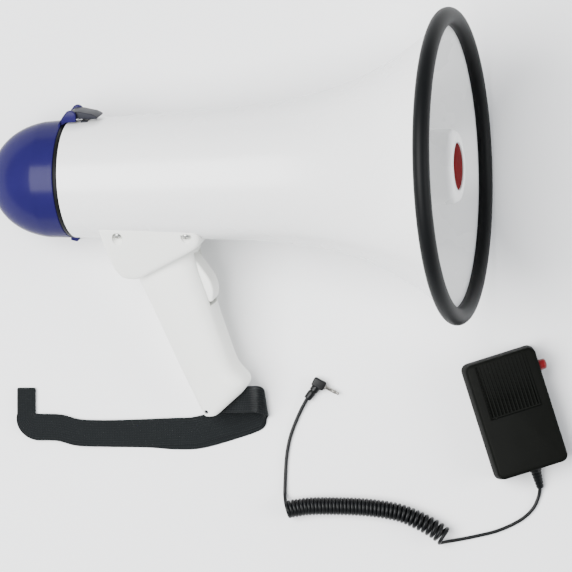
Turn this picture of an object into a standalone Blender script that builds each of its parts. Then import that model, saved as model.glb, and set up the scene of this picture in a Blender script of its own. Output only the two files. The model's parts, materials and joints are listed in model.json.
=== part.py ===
"""Handheld megaphone lying on its side, with its wrist strap and a hand microphone on a curly cord.

The megaphone is drawn in its own frame: x along the horn towards the mouth, from the rear joint at x = 0,
z up, and the grip towards -z. The microphone is drawn in a frame of its own: x across it, y along it, z out
of its face. One empty lays each of them on the surface that the whole set rests on, z = 0.
"""

import math

import bmesh
import bpy
from mathutils import Matrix, Vector

# Fits
GAP = 0.0003  # left between pieces that touch
RUNNING = 0.00012  # radial play of a pin in its hole
FREE = 0.0005  # play round a piece that moves in an opening

# Horn and body
REAR_RADIUS = 0.0405
BODY_TAPER = 0.040  # radius gained for each metre of length
BODY_LENGTH = 0.2690
FLARE_START = 0.080
FLARE_POWER = 3.3
LIP_RADIUS = 0.1018
WALL = 0.0025
TRIM_RADIAL = 0.0127
TRIM_AXIAL = 0.0112
TRIM_OVERLAP = 0.0050  # of the bell's lip inside the rubber
GASKET_LENGTH = 0.0030

# Rear cover, its hinge and its latch
COVER_LENGTH = 0.0593
COVER_WALL = 0.0022
COVER_BAND = 0.028  # the straight part, measured from the joint
COVER_DOME_START = 0.012
COVER_POWER = 2.2
HINGE_PIN_RADIUS = 0.0010
HINGE_KNUCKLE_RADIUS = 0.0022
HINGE_DROP = 0.0009  # of the pin's axis below the body's surface
HINGE_HALF_SPAN = 0.0090
HINGE_CENTRE_HALF = 0.0048
LATCH_PIVOT = (0.0048, 0.0462)  # x, and height over the horn's axis
LATCH_PIN_RADIUS = 0.0012
LATCH_HALF_WIDTH = 0.0070
LATCH_LUG = 0.0026

# Horn's inside
BULKHEAD_X = 0.1150
BULKHEAD_THICKNESS = 0.0030
DRIVER_RADIUS = 0.0300
MAGNET_BORE = 0.0150
POLE_RADIUS = 0.0112
COIL_RADIUS = 0.0117
COIL_WALL = 0.0006
PLATE_BORE = 0.0128
THROAT_RADIUS = 0.0080
THROAT_MOUTH_RADIUS = 0.0150
THROAT_END = 0.2380
THROAT_WALL = 0.0018
CUP_RADIUS = 0.0255
CUP_BACK = 0.1780
CUP_FRONT = 0.2735
CUP_WALL = 0.0020
CUP_EDGE = 0.0045
BADGE_RADIUS = 0.0160
BADGE_RECESS = 0.0016
SPIDER_BACK = 0.1840
SPIDER_LENGTH = 0.0090
SPIDER_ARM = 0.0030
SPIDER_ARMS = 3

# Batteries
CELL_RADIUS = 0.0130
CELL_LENGTH = 0.0495
CELL_GAP = 0.0006
HOLDER_REAR = 0.0025
HOLDER_PLATE = 0.0020
SPRING_LENGTH = 0.0040

# Grip and saddle
SADDLE_TOP = -0.0270
SADDLE_HOLLOW_TOP = -0.0385
SADDLE_HALF_WIDTH = 0.0310
SADDLE_TAPER = 0.25
SADDLE_BEVEL = 0.0030
GRIP_WALL = 0.0025
GRIP_REAR = 0.0164  # where the line of the grip's rear meets the horn's axis
GRIP_RAKE = 0.322
SADDLE_SCREW_X = (0.0350, 0.0845)
SADDLE_SCREW_ANGLE = math.radians(37.6)  # round the horn, from the grip's direction
SADDLE_SCREW_SEAT = 0.0015  # of the screw's head over the body
SCREW_RADIUS = 0.0015
SCREW_HEAD_RADIUS = 0.0030
SCREW_HEAD = 0.0016
TRIGGER_PIVOT = (0.0785, -0.0590)
TRIGGER_HALF_WIDTH = 0.0080
TRIGGER_PIN_RADIUS = 0.0012
TRIGGER_PIN_SEAT = 0.0030  # of the pin in each side of the grip
STRAP_PIN = (0.0780, -0.1730)
STRAP_PIN_RADIUS = 0.0012
STRAP_LEVEL = -0.1640  # of the webbing's middle
STRAP_WIDTH = 0.0190
STRAP_THICKNESS = 0.0032  # of the doubled webbing
KNOB_AT = (0.0500, -0.0500)
KNOB_RADIUS = 0.0085
KNOB_HEIGHT = 0.0090
SWITCH_AT = (0.0700, -0.0430)
SWITCH_TRAVEL = 0.0040
SOCKET_AT = (0.0330, -0.0470)

# Microphone
MIC_WIDTH = 0.0525
MIC_LENGTH = 0.0825
MIC_THICKNESS = 0.0270
MIC_SPLIT = 0.0120
MIC_WALL = 0.0020
MIC_CORNER = 0.0050
MIC_EDGE = 0.0022
GRILLE_LENGTH = 0.0385
GRILLE_RIBS = 13
PTT_AT = (0.0262, 0.0190)  # along the microphone, and height over its back
PTT_RADIUS = 0.0040
PTT_PROUD = 0.0055
CORD_DIAMETER = 0.0026
COIL_DIAMETER = 0.0120
RELIEF_LENGTH = 0.0150
RELIEF_X = 0.0028

# Where things lie, on the surface
LAYOUT_ORIGIN = (0.00380, -0.02717, 0.0)
REAR_JOINT_AT = (-0.1455, 0.0751)
YAW = math.radians(1.3)
MICROPHONE_AT = (0.1608, -0.0886)
MICROPHONE_TURN = math.radians(17.5)
STRAP_FOLD_AT = (-0.0176, -0.0835)
STRAP_RUN = (
    (-0.0205, -0.0930),
    (-0.0415, -0.1006),
    (-0.0621, -0.1061),
    (-0.0781, -0.1067),
    (-0.0980, -0.1054),
    (-0.1292, -0.1049),
    (-0.1479, -0.1041),
    (-0.1612, -0.1008),
    (-0.1768, -0.1003),
)
STRAP_CORNER = (-0.1847, -0.1001)
STRAP_TAB_LENGTH = 0.0263
STRAP_TAB_WIDTH = 0.0131
TAIL_ROUTE = (
    (0.1788, -0.1497, 0.0020),
    (0.1770, -0.1540, 0.0014),
    (0.1728, -0.1585, 0.0013),
    (0.1694, -0.1618, 0.0013),
    (0.1614, -0.1678, 0.0013),
    (0.1497, -0.1731, 0.0013),
    (0.1395, -0.1762, 0.0013),
    (0.1306, -0.1780, 0.0013),
    (0.1225, -0.1797, 0.0014),
)
COIL_ROUTE = (
    (0.0011, -0.1584, 0.0060),
    (0.0060, -0.1572, 0.0060),
    (0.0178, -0.1557, 0.0060),
    (0.0380, -0.1556, 0.0060),
    (0.0590, -0.1562, 0.0060),
    (0.0800, -0.1590, 0.0060),
    (0.0940, -0.1655, 0.0060),
    (0.1070, -0.1727, 0.0060),
    (0.1122, -0.1768, 0.0060),
)
LEAD_ROUTE = (
    (0.0004, -0.1518, 0.0030),
    (0.0005, -0.1440, 0.0015),
    (0.0010, -0.1330, 0.00135),
    (0.0021, -0.1170, 0.00135),
    (0.0043, -0.1035, 0.00135),
    (0.0095, -0.0915, 0.0016),
    (0.0132, -0.0832, 0.0026),
    (0.0150, -0.0800, 0.0035),
)
PLUG_HEAD_AT = (0.0235, -0.0693)
PLUG_TURN = math.radians(-27.5)
PLUG_THICKNESS = 0.0070
PLUG_PIN_RADIUS = 0.00125

FINISHES = {  # colour, roughness, metallic
    "white plastic": ((0.87, 0.88, 0.87), 0.40, 0.0),
    "blue plastic": ((0.030, 0.045, 0.235), 0.25, 0.0),
    "red plastic": ((0.42, 0.02, 0.03), 0.30, 0.0),
    "black plastic": ((0.015, 0.015, 0.015), 0.50, 0.0),
    "rubber": ((0.012, 0.013, 0.014), 0.60, 0.0),
    "webbing": ((0.016, 0.018, 0.019), 0.90, 0.0),
    "steel": ((0.60, 0.60, 0.58), 0.30, 1.0),
    "ferrite": ((0.05, 0.05, 0.055), 0.60, 0.0),
    "copper": ((0.80, 0.36, 0.18), 0.30, 1.0),
    "board": ((0.02, 0.16, 0.06), 0.50, 0.0),
    "film": ((0.55, 0.42, 0.20), 0.35, 0.0),
}

# ---------------------------------------------------------------- tools


def clear_scene():
    for obj in list(bpy.data.objects):
        bpy.data.objects.remove(obj, do_unlink=True)


def collection(name):
    group = bpy.data.collections.new(name)
    bpy.context.scene.collection.children.link(group)
    return group


def material(name, finish):
    colour, roughness, metallic = FINISHES[finish]
    made = bpy.data.materials.new(name)
    made.use_nodes = True
    shader = made.node_tree.nodes["Principled BSDF"]
    shader.inputs["Base Color"].default_value = (*colour, 1.0)
    shader.inputs["Roughness"].default_value = roughness
    shader.inputs["Metallic"].default_value = metallic
    made.diffuse_color = (*colour, 1.0)
    return made


def frame(name, parent=None, at=(0, 0, 0)):
    """An empty at a point of its parent's drawing frame. What hangs on it is drawn in that same frame."""
    empty = bpy.data.objects.new(name, None)
    PARTS.objects.link(empty)
    HOMES[name] = Vector(at)
    if parent:
        empty.parent = parent
        empty.location = HOMES[name] - HOMES[parent.name]
    return empty


def put(name, data, parent, finish, at=(0, 0, 0), along=None):
    """An object of this mesh or curve, in its frame. With no finish it is a cutter."""
    obj = bpy.data.objects.new(name, data)
    if finish:
        PARTS.objects.link(obj)
        data.materials.append(material(name, finish))
    else:
        CUTTERS.objects.link(obj)
        obj.hide_render = True
        obj.display_type = "WIRE"
    obj.parent = parent
    obj.location = Vector(at) - HOMES[parent.name]
    if along is not None:
        obj.rotation_euler = Vector(along).to_track_quat("X", "Z").to_euler()
    return obj


def put_bmesh(name, bm, parent, finish, **where):
    mesh = bpy.data.meshes.new(name)
    bm.to_mesh(mesh)
    bm.free()
    return put(name, mesh, parent, finish, **where)


def turned(name, points, parent, finish, steps=24, closed=False, **where):
    """(x, r) points turned about x, with the material on the left of their direction."""
    mesh = bpy.data.meshes.new(name)
    edges = [(i, i + 1) for i in range(len(points) - 1)]
    if closed:
        edges.append((len(points) - 1, 0))
    mesh.from_pydata([(x, 0.0, r) for x, r in points], edges, [])
    obj = put(name, mesh, parent, finish, **where)
    screw = obj.modifiers.new("turn", "SCREW")
    screw.axis = "X"
    screw.steps = screw.render_steps = steps
    screw.use_merge_vertices = True
    screw.merge_threshold = 1e-5
    return obj


def prism(name, outline, half_width, parent, finish):
    """An (x, z) outline carried across y. The half width is a number or a function of z."""
    width = half_width if callable(half_width) else lambda z: half_width
    bm = bmesh.new()
    sides = [[bm.verts.new((x, side * width(z), z)) for x, z in outline] for side in (-1, 1)]
    bm.faces.new(sides[0])
    bm.faces.new(sides[1])
    for i in range(len(outline)):
        bm.faces.new((sides[0][i - 1], sides[0][i], sides[1][i], sides[1][i - 1]))
    bmesh.ops.recalc_face_normals(bm, faces=bm.faces)
    return put_bmesh(name, bm, parent, finish)


def block(name, low, high, parent, finish, **where):
    """A box between two corners."""
    low, high = Vector(low), Vector(high)
    bm = bmesh.new()
    size = Matrix.Diagonal((*(high - low), 1.0))
    bmesh.ops.create_cube(bm, size=1.0, matrix=Matrix.Translation((low + high) / 2) @ size)
    return put_bmesh(name, bm, parent, finish, **where)


def rod(name, start, end, radius, parent, finish, sides=16, end_radius=None):
    """A round bar between two points, or a taper where its end has another radius."""
    start, end = Vector(start), Vector(end)
    turn = (end - start).to_track_quat("Z", "Y").to_matrix().to_4x4()
    bm = bmesh.new()
    bmesh.ops.create_cone(
        bm,
        cap_ends=True,
        segments=sides,
        radius1=radius,
        radius2=radius if end_radius is None else end_radius,
        depth=(end - start).length,
        matrix=Matrix.Translation((start + end) / 2) @ turn,
    )
    return put_bmesh(name, bm, parent, finish)


def loft(name, rings, parent, finish):
    """A closed skin over rings of equally many points."""
    bm = bmesh.new()
    loops = [[bm.verts.new(point) for point in ring] for ring in rings]
    for one, two in zip(loops, loops[1:]):
        for i in range(len(one)):
            bm.faces.new((one[i - 1], one[i], two[i], two[i - 1]))
    bm.faces.new(loops[0])
    bm.faces.new(loops[-1])
    bmesh.ops.recalc_face_normals(bm, faces=bm.faces)
    return put_bmesh(name, bm, parent, finish)


def boolean(obj, other, operation="DIFFERENCE"):
    modifier = obj.modifiers.new(other.name, "BOOLEAN")
    modifier.operation = operation
    modifier.solver = "EXACT"
    modifier.object = other


def bevel(obj, width, segments=2, angle=35):
    modifier = obj.modifiers.new("bevel", "BEVEL")
    modifier.width = width
    modifier.segments = segments
    modifier.limit_method = "ANGLE"
    modifier.angle_limit = math.radians(angle)


def solidify(obj, thickness):
    modifier = obj.modifiers.new("wall", "SOLIDIFY")
    modifier.thickness = thickness
    modifier.offset = -1.0
    modifier.use_even_offset = True


def inset(outline, distance):
    """An anticlockwise outline moved inwards, corner by corner."""
    points = [Vector(point) for point in outline]
    moved = []
    for i, here in enumerate(points):
        before = (here - points[i - 1]).normalized()
        after = (points[(i + 1) % len(points)] - here).normalized()
        normals = Vector((-before.y, before.x)), Vector((-after.y, after.x))
        corner = (normals[0] + normals[1]) / (1 + normals[0].dot(normals[1]))
        moved.append(tuple(here + corner * distance))
    return moved


def arc(centre, radius, start, end, count):
    """Points of a round stretch, angles in degrees."""
    angles = [math.radians(start + (end - start) * i / count) for i in range(count + 1)]
    return [(centre[0] + radius * math.cos(a), centre[1] + radius * math.sin(a)) for a in angles]


def smooth_curve(route, spacing):
    """Points at about this spacing on the Catmull-Rom curve through a route."""
    knots = [Vector(point) for point in route]
    knots = [2 * knots[0] - knots[1], *knots, 2 * knots[-1] - knots[-2]]
    points = []
    for a, b, c, d in zip(knots, knots[1:], knots[2:], knots[3:]):
        count = max(1, round((c - b).length / spacing))
        for i in range(count):
            t = i / count
            near = (2 * b) + (c - a) * t + (2 * a - 5 * b + 4 * c - d) * t * t
            points.append((near + (3 * b - a - 3 * c + d) * t**3) / 2)
    return [*points, knots[-2]]


def tube(name, points, radius, parent, finish, resolution=2):
    """A bent round bar through these points, with filled ends."""
    curve = bpy.data.curves.new(name, "CURVE")
    curve.dimensions = "3D"
    curve.bevel_depth = radius
    curve.bevel_resolution = resolution
    curve.use_fill_caps = True
    spline = curve.splines.new("POLY")
    spline.points.add(len(points) - 1)
    for control, point in zip(spline.points, points):
        control.co = (*point, 1.0)
    return put(name, curve, parent, finish)


# ---------------------------------------------------------------- the horn's shape and how it lies


def horn_radius(x):
    """Outer radius of the body and bell: a slight cone, and the bell's flare from FLARE_START on."""
    cone = REAR_RADIUS + BODY_TAPER * x
    flare = LIP_RADIUS - REAR_RADIUS - BODY_TAPER * BODY_LENGTH
    reach = max(0.0, x - FLARE_START) / (BODY_LENGTH - FLARE_START)
    return cone + flare * reach**FLARE_POWER


def horn_bore(x):
    return horn_radius(x) - WALL


def cover_radius(x):
    """Outer radius of the rear cover: a straight band, then a rounded end."""
    back = max(0.0, -x - COVER_DOME_START) / (COVER_LENGTH - COVER_DOME_START)
    dome = REAR_RADIUS * max(0.0, 1.0 - back**COVER_POWER) ** (1 / COVER_POWER)
    band_end = REAR_RADIUS * (
        1.0 - ((COVER_BAND - COVER_DOME_START) / (COVER_LENGTH - COVER_DOME_START)) ** COVER_POWER
    ) ** (1 / COVER_POWER)
    share = (-x - GASKET_LENGTH) / (COVER_BAND - GASKET_LENGTH)
    return dome if -x > COVER_BAND else REAR_RADIUS + (band_end - REAR_RADIUS) * share


def lip():
    """The bell's edge: its place and the direction it points in, in (x, r)."""
    step = 0.004
    direction = Vector((step, LIP_RADIUS - horn_radius(BODY_LENGTH - step))).normalized()
    inward = Vector((direction.y, -direction.x))
    return Vector((BODY_LENGTH, LIP_RADIUS)) + inward * WALL / 2, direction


def trim_ring():
    """The rubber edge's oval section about the bell's lip."""
    edge, direction = lip()
    centre = edge - direction * (TRIM_OVERLAP - TRIM_AXIAL / 2) + Vector((0.0, 0.0004))
    angles = [2 * math.pi * i / 16 for i in range(16)]
    radial, axial = TRIM_RADIAL / 2, TRIM_AXIAL / 2
    return centre, [centre + Vector((axial * math.cos(a), radial * math.sin(a))) for a in angles]


def attitude():
    """Tilt of the horn, height of its rear joint's centre and roll, with mouth, cover and grip on the surface."""
    covers = [(-x, cover_radius(-x)) for x in cover_stations()]
    rims = [(point.x, point.y) for point in trim_ring()[1]]
    slope = max(min((rim[1] - c[1]) / (rim[0] - c[0]) for c in covers) for rim in rims)
    tilt = math.atan(slope)
    height = max(r * math.cos(tilt) - x * math.sin(tilt) for x, r in covers + rims)
    rolls = []
    for ring in grip_rings(0.0):
        for x, y, z in ring:
            reach = math.hypot(y, z)
            lift = (height + x * math.sin(tilt)) / math.cos(tilt)
            if lift < reach and y > 0:
                rolls.append(math.asin(lift / reach) - math.atan2(y, -z))
    return tilt, height, min(rolls)


def megaphone_matrix():
    tilt, height, roll = attitude()
    turn = Matrix.Rotation(YAW, 4, "Z") @ Matrix.Rotation(-tilt, 4, "Y")
    turn = turn @ Matrix.Rotation(roll - math.pi / 2, 4, "X")
    return Matrix.Translation((*REAR_JOINT_AT, height)) @ turn


# ---------------------------------------------------------------- horn, rim and rear cover


def horn_stations():
    straight = [0.0, 0.040, FLARE_START, FLARE_START + 0.025]
    count = 10
    first = straight[-1]
    return straight + [first + (BODY_LENGTH - first) * (i / count) ** 0.8 for i in range(1, count + 1)]


def cover_stations():
    """Distances behind the joint."""
    front = GASKET_LENGTH + GAP
    dome = [COVER_BAND + (COVER_LENGTH - COVER_BAND) * math.sin(math.pi / 2 * i / 6) for i in range(7)]
    return [front, (front + COVER_BAND) / 2, *dome]


def hinge_axis():
    return Vector((-GASKET_LENGTH / 2, 0.0, -(REAR_RADIUS + HINGE_DROP)))


def knuckle(name, low, high, reach, parent):
    """A hinge's barrel between two places across y, with an arm towards its wall."""
    axis = hinge_axis()
    barrel = rod(name, (axis.x, low, axis.z), (axis.x, high, axis.z), HINGE_KNUCKLE_RADIUS, parent, None)
    depth = HINGE_KNUCKLE_RADIUS
    arm = block(
        name + "_arm",
        (min(axis.x, reach), low + GAP, axis.z - depth * 0.7),
        (max(axis.x, reach), high - GAP, axis.z + depth * 0.9),
        parent,
        None,
    )
    boolean(barrel, arm, "UNION")
    return barrel


def make_horn(mega):
    outer = [(x, horn_radius(x)) for x in reversed(horn_stations())]
    body = turned("horn_body", outer, mega, "white plastic", steps=36)
    solidify(body, WALL)
    axis = hinge_axis()
    notch_radius = HINGE_KNUCKLE_RADIUS + FREE
    notch = rod(
        "hinge_notch",
        (axis.x, -HINGE_HALF_SPAN - FREE, axis.z),
        (axis.x, HINGE_HALF_SPAN + FREE, axis.z),
        notch_radius,
        mega,
        None,
    )
    boolean(body, notch)
    boolean(body, knuckle("body_knuckle", -HINGE_CENTRE_HALF, HINGE_CENTRE_HALF, 0.0050, mega), "UNION")
    bore = rod(
        "hinge_bore",
        (axis.x, -HINGE_HALF_SPAN * 2, axis.z),
        (axis.x, HINGE_HALF_SPAN * 2, axis.z),
        HINGE_PIN_RADIUS + RUNNING,
        mega,
        None,
    )
    boolean(body, bore)
    for i, (x, direction) in enumerate(saddle_screws()):
        start = Vector((x, 0.0, 0.0)) + direction * (horn_radius(x) - 2 * WALL)
        end = Vector((x, 0.0, 0.0)) + direction * (horn_radius(x) + WALL)
        hole = rod(f"body_screw_hole_{i}", start, end, SCREW_RADIUS + GAP, mega, None, sides=12)
        boolean(body, hole)

    gasket = turned(
        "rear_gasket",
        [
            (-GAP, REAR_RADIUS - WALL),
            (-GAP, REAR_RADIUS - 0.0001),
            (-GASKET_LENGTH, REAR_RADIUS - 0.0001),
            (-GASKET_LENGTH, REAR_RADIUS - WALL),
        ],
        mega,
        "rubber",
        steps=36,
        closed=True,
    )
    boolean(gasket, notch)

    pin_end = HINGE_HALF_SPAN - 0.0004
    rod(
        "cover_hinge_pin",
        (axis.x, -pin_end, axis.z),
        (axis.x, pin_end, axis.z),
        HINGE_PIN_RADIUS,
        mega,
        "steel",
    )
    return notch, bore


def make_trim(mega):
    """The rubber's oval section with a slot for the bell's lip."""
    edge, direction = lip()
    normal = Vector((-direction.y, direction.x))
    half = WALL / 2 + GAP
    deep = edge + direction * GAP
    points = trim_ring()[1]
    kept = [p for p in points if abs((p - edge).dot(normal)) > half or (p - deep).dot(direction) > 0]
    gaps = [(kept[i] - kept[i - 1]).length for i in range(len(kept))]
    cut = gaps.index(max(gaps))
    kept = kept[cut:] + kept[:cut]
    first_side = math.copysign(1.0, (kept[0] - edge).dot(normal))
    mouth = TRIM_OVERLAP + GAP
    slot = []
    for side, back in ((-first_side, mouth), (-first_side, 0.0), (first_side, 0.0), (first_side, mouth)):
        slot.append(deep + normal * half * side - direction * back)
    section = kept + slot
    area = sum(a.x * b.y - b.x * a.y for a, b in zip(section, section[1:] + section[:1]))
    if area < 0:
        section.reverse()
    turned("rim_trim", [tuple(point) for point in section], mega, "rubber", steps=36, closed=True)


def make_cover(cover, notch, bore):
    outer = [(-x, cover_radius(-x)) for x in cover_stations()]
    outer[-1] = (outer[-1][0], 0.0)
    inner_end = -(COVER_LENGTH - COVER_WALL)
    inner = [(x, r - COVER_WALL) for x, r in outer[:-1] if r > 2.2 * COVER_WALL and x > inner_end]
    profile = outer + [(inner_end, 0.0)] + inner[::-1] + [outer[0]]
    shell = turned("rear_cover", profile[:-1], cover, "blue plastic", steps=36, closed=True)
    boolean(shell, notch)
    reach = -GASKET_LENGTH - 0.0050
    for side in (-1, 1):
        ends = sorted((side * (HINGE_CENTRE_HALF + FREE), side * HINGE_HALF_SPAN))
        boolean(shell, knuckle(f"cover_knuckle_{side}", *ends, reach, cover), "UNION")
    boolean(shell, bore)
    make_latch_boss(cover, shell)


def make_latch_boss(cover, shell):
    """Two lugs on the cover that carry the latch's pin, with a bridge behind the lever."""
    x, z = LATCH_PIVOT
    wide = LATCH_HALF_WIDTH + FREE + LATCH_LUG
    front = [(x + 0.0028, z - 0.0038), *arc((x, z), 0.0031, -15, 100, 5)]
    outline = front + [(x - 0.0042, z + 0.0022), (x - 0.0105, z - 0.0068), (x - 0.0105, z - 0.0078)]
    foot = [(-GASKET_LENGTH - GAP, REAR_RADIUS - 0.0012), (-GASKET_LENGTH - GAP, z - 0.0038)]
    boss = prism("latch_boss", outline + foot, wide, cover, None)
    bevel(boss, 0.0008, segments=1)
    slot = block(
        "latch_slot",
        (x - 0.0040, -LATCH_HALF_WIDTH - FREE, REAR_RADIUS + 0.0006),
        (x + 0.0200, LATCH_HALF_WIDTH + FREE, z + 0.0080),
        cover,
        None,
    )
    hole = rod("latch_bore", (x, -2 * wide, z), (x, 2 * wide, z), LATCH_PIN_RADIUS + RUNNING, cover, None)
    clearance = turned("gasket_clearance", core_profile(-GASKET_LENGTH - GAP, 0.02, GAP), cover, None)
    boolean(boss, clearance)
    boolean(shell, boss, "UNION")
    boolean(shell, slot)
    boolean(shell, hole)
    end = wide - 0.0004
    rod("latch_pin", (x, -end, z), (x, end, z), LATCH_PIN_RADIUS, cover, "steel")


def make_latch(latch):
    """The lever: a barrel on the pin and a wedge that reaches forwards over the body."""
    x, z = LATCH_PIVOT
    nib = 0.0006  # the hook's clearance over the catch
    foot = REAR_RADIUS + BODY_TAPER * 0.02 + 0.0010 + nib
    outline = [
        (x + 0.0030, foot + 0.0006),
        (0.0108, foot + 0.0004),
        (0.0162, foot + 0.0004),
        (0.0170, foot),
        (0.0222, foot),
        (0.0232, foot + 0.0008),
        (0.0224, foot + 0.0018),
        (0.0100, z + 0.0031),
        *arc((x, z), 0.0031, 80, 250, 7),
    ]
    lever = prism("latch_lever", outline, LATCH_HALF_WIDTH, latch, "black plastic")
    bevel(lever, 0.0004, segments=1)
    boolean(lever, bpy.data.objects["latch_bore"])


def core_profile(start, end, clearance):
    """A solid that fills the horn's outer surface plus a clearance, from its front to its back."""
    count = 8
    stations = [end + (start - end) * i / count for i in range(count + 1)]
    sides = [(x, horn_radius(max(x, 0.0)) + clearance) for x in stations]
    return [(end, 0.0), *sides, (start, 0.0)]


def make_catch(mega, core):
    catch = block(
        "latch_catch",
        (0.0105, -0.0060, REAR_RADIUS - 0.0020),
        (0.0152, 0.0060, REAR_RADIUS + BODY_TAPER * 0.02 + 0.0010),
        mega,
        "steel",
    )
    boolean(catch, core)


# ---------------------------------------------------------------- driver and centre horn


def make_driver(mega, diaphragm):
    bulk = BULKHEAD_X
    turned(
        "driver_bulkhead",
        [
            (bulk + BULKHEAD_THICKNESS, 0.0040),
            (bulk + BULKHEAD_THICKNESS, horn_bore(bulk) - GAP),
            (bulk, horn_bore(bulk) - GAP),
            (bulk, 0.0040),
        ],
        mega,
        "white plastic",
        closed=True,
    )
    back = bulk + BULKHEAD_THICKNESS + GAP
    back_plate = 0.0050
    pole_tip = back + 0.0205
    profile = [(pole_tip, 0.0), (pole_tip, POLE_RADIUS), (back + back_plate, POLE_RADIUS)]
    profile += [(back + back_plate, DRIVER_RADIUS), (back, DRIVER_RADIUS), (back, 0.0)]
    turned("driver_back_plate", profile, mega, "steel")
    magnet = (back + back_plate + GAP, back + 0.0165)
    top = (magnet[1] + GAP, magnet[1] + 0.0048)
    for name, (low, high), bore, finish in (
        ("driver_magnet", magnet, MAGNET_BORE, "ferrite"),
        ("driver_top_plate", top, PLATE_BORE, "steel"),
    ):
        ring = [(high, bore), (high, DRIVER_RADIUS), (low, DRIVER_RADIUS), (low, bore)]
        turned(name, ring, mega, finish, closed=True)
    cap = top[1] + 0.0022
    coil = (top[0] - 0.0010, cap - GAP)
    ring = [(coil[1], COIL_RADIUS), (coil[1], COIL_RADIUS + COIL_WALL)]
    ring += [(coil[0], COIL_RADIUS + COIL_WALL), (coil[0], COIL_RADIUS)]
    turned("voice_coil", ring, diaphragm, "copper", closed=True)
    film = 0.0005
    dome = [(cap + 0.0045 * math.cos(a), 0.0135 * math.sin(a)) for a in (0.0, 0.45, 0.9, 1.3)]
    front = [(x + film, r) for x, r in dome] + [(cap + film, 0.0140), (cap + film, 0.0250)]
    rear = [(cap, 0.0250), (cap, 0.0140)] + dome[::-1]
    turned("diaphragm", front + rear, diaphragm, "film", closed=False)
    cover = cap + 0.0070
    skirt = top[1] + GAP
    plate = 0.0030
    tube_profile = [
        (THROAT_END, THROAT_MOUTH_RADIUS),
        (THROAT_END, THROAT_MOUTH_RADIUS + THROAT_WALL),
        (cover + plate, THROAT_RADIUS + THROAT_WALL),
        (cover + plate, DRIVER_RADIUS),
        (skirt, DRIVER_RADIUS),
        (skirt, DRIVER_RADIUS - 0.0030),
        (cover, DRIVER_RADIUS - 0.0030),
        (cover, THROAT_RADIUS),
    ]
    turned("throat_tube", tube_profile, mega, "black plastic", closed=True)


def make_centre_horn(mega):
    inner = CUP_RADIUS - CUP_WALL
    floor = CUP_FRONT - 0.0070
    bowl = CUP_FRONT - BADGE_RECESS
    rim = arc((CUP_FRONT - CUP_EDGE, CUP_RADIUS - CUP_EDGE), CUP_EDGE, 0, 90, 4)
    profile = [(bowl, 0.0), (bowl, BADGE_RADIUS + GAP), (CUP_FRONT, BADGE_RADIUS + GAP + 0.0004), *rim]
    profile += [(CUP_BACK, CUP_RADIUS), (CUP_BACK, inner), (floor - 0.0030, inner)]
    profile += [(floor, inner - 0.0030), (floor, 0.0)]
    turned("reflector_cup", profile, mega, "white plastic", steps=28)

    face = bowl + GAP
    badge = [(face + 0.0010, 0.0), (face + 0.0009, BADGE_RADIUS * 0.6), (face + 0.0006, BADGE_RADIUS * 0.95)]
    badge += [(face + 0.0002, BADGE_RADIUS), (face, BADGE_RADIUS), (face, 0.0)]
    turned("front_badge", badge, mega, "red plastic", steps=28)

    start, end = SPIDER_BACK, SPIDER_BACK + SPIDER_LENGTH
    ring_inner, ring_outer = CUP_RADIUS + GAP, CUP_RADIUS + GAP + 0.0022
    ring = [(end, ring_inner), (end, ring_outer), (start, ring_outer), (start, ring_inner)]
    spider = turned("horn_spider", ring, mega, "white plastic", steps=36, closed=True)
    reach = horn_bore(start) - 2 * GAP
    for i in range(SPIDER_ARMS):
        angle = 2 * math.pi * i / SPIDER_ARMS
        arm = block(
            f"spider_arm_{i}",
            (start, -SPIDER_ARM / 2, ring_inner + 0.0008),
            (end, SPIDER_ARM / 2, reach),
            mega,
            None,
        )
        arm.rotation_euler = (angle, 0.0, 0.0)
        boolean(spider, arm, "UNION")


# ---------------------------------------------------------------- batteries


def cell_centres():
    ring = (CELL_RADIUS + CELL_GAP / 2) / math.sin(math.pi / 3)
    angles = [math.pi / 2 + 2 * math.pi * i / 3 for i in range(3)]
    return [(ring * math.cos(a), ring * math.sin(a)) for a in angles], ring


def make_batteries(mega):
    centres, ring = cell_centres()
    plate_radius = ring + CELL_RADIUS - 0.0020
    first = HOLDER_REAR + HOLDER_PLATE + GAP
    pitch = CELL_LENGTH + CELL_GAP
    front = first + 2 * pitch + SPRING_LENGTH
    spindle = ring - CELL_RADIUS - GAP
    turned(
        "battery_holder",
        [
            (front + HOLDER_PLATE, 0.0),
            (front + HOLDER_PLATE, plate_radius),
            (front, plate_radius),
            (front, spindle),
            (HOLDER_REAR + HOLDER_PLATE, spindle),
            (HOLDER_REAR + HOLDER_PLATE, plate_radius),
            (HOLDER_REAR, plate_radius),
            (HOLDER_REAR, 0.0),
        ],
        mega,
        "black plastic",
    )
    nub, nub_radius = 0.0015, 0.0035
    for layer in range(2):
        for i, (y, z) in enumerate(centres):
            start = first + layer * pitch
            end = start + CELL_LENGTH
            cell = [(end, 0.0), (end, nub_radius), (end - nub, nub_radius), (end - nub, CELL_RADIUS)]
            cell += [(start, CELL_RADIUS), (start, 0.0)]
            turned(f"battery_{1 + i + 3 * layer}", cell, mega, "steel", steps=16, at=(0.0, y, z))
    wire = 0.0004
    turns, per_turn = 3, 8
    room = SPRING_LENGTH - CELL_GAP - 2 * wire - 2 * GAP
    for i, (y, z) in enumerate(centres):
        points = []
        for step in range(turns * per_turn + 1):
            angle = 2 * math.pi * step / per_turn
            share = step / (turns * per_turn)
            x = first + 2 * pitch + wire + GAP / 2 + room * share
            radius = 0.0030 + 0.0025 * share
            points.append((x, y + radius * math.cos(angle), z + radius * math.sin(angle)))
        tube(f"contact_spring_{i + 1}", points, wire, mega, "steel", resolution=0)


# ---------------------------------------------------------------- grip


def saddle_half_width(z):
    return SADDLE_HALF_WIDTH + SADDLE_TAPER * (z - SADDLE_TOP)


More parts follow.
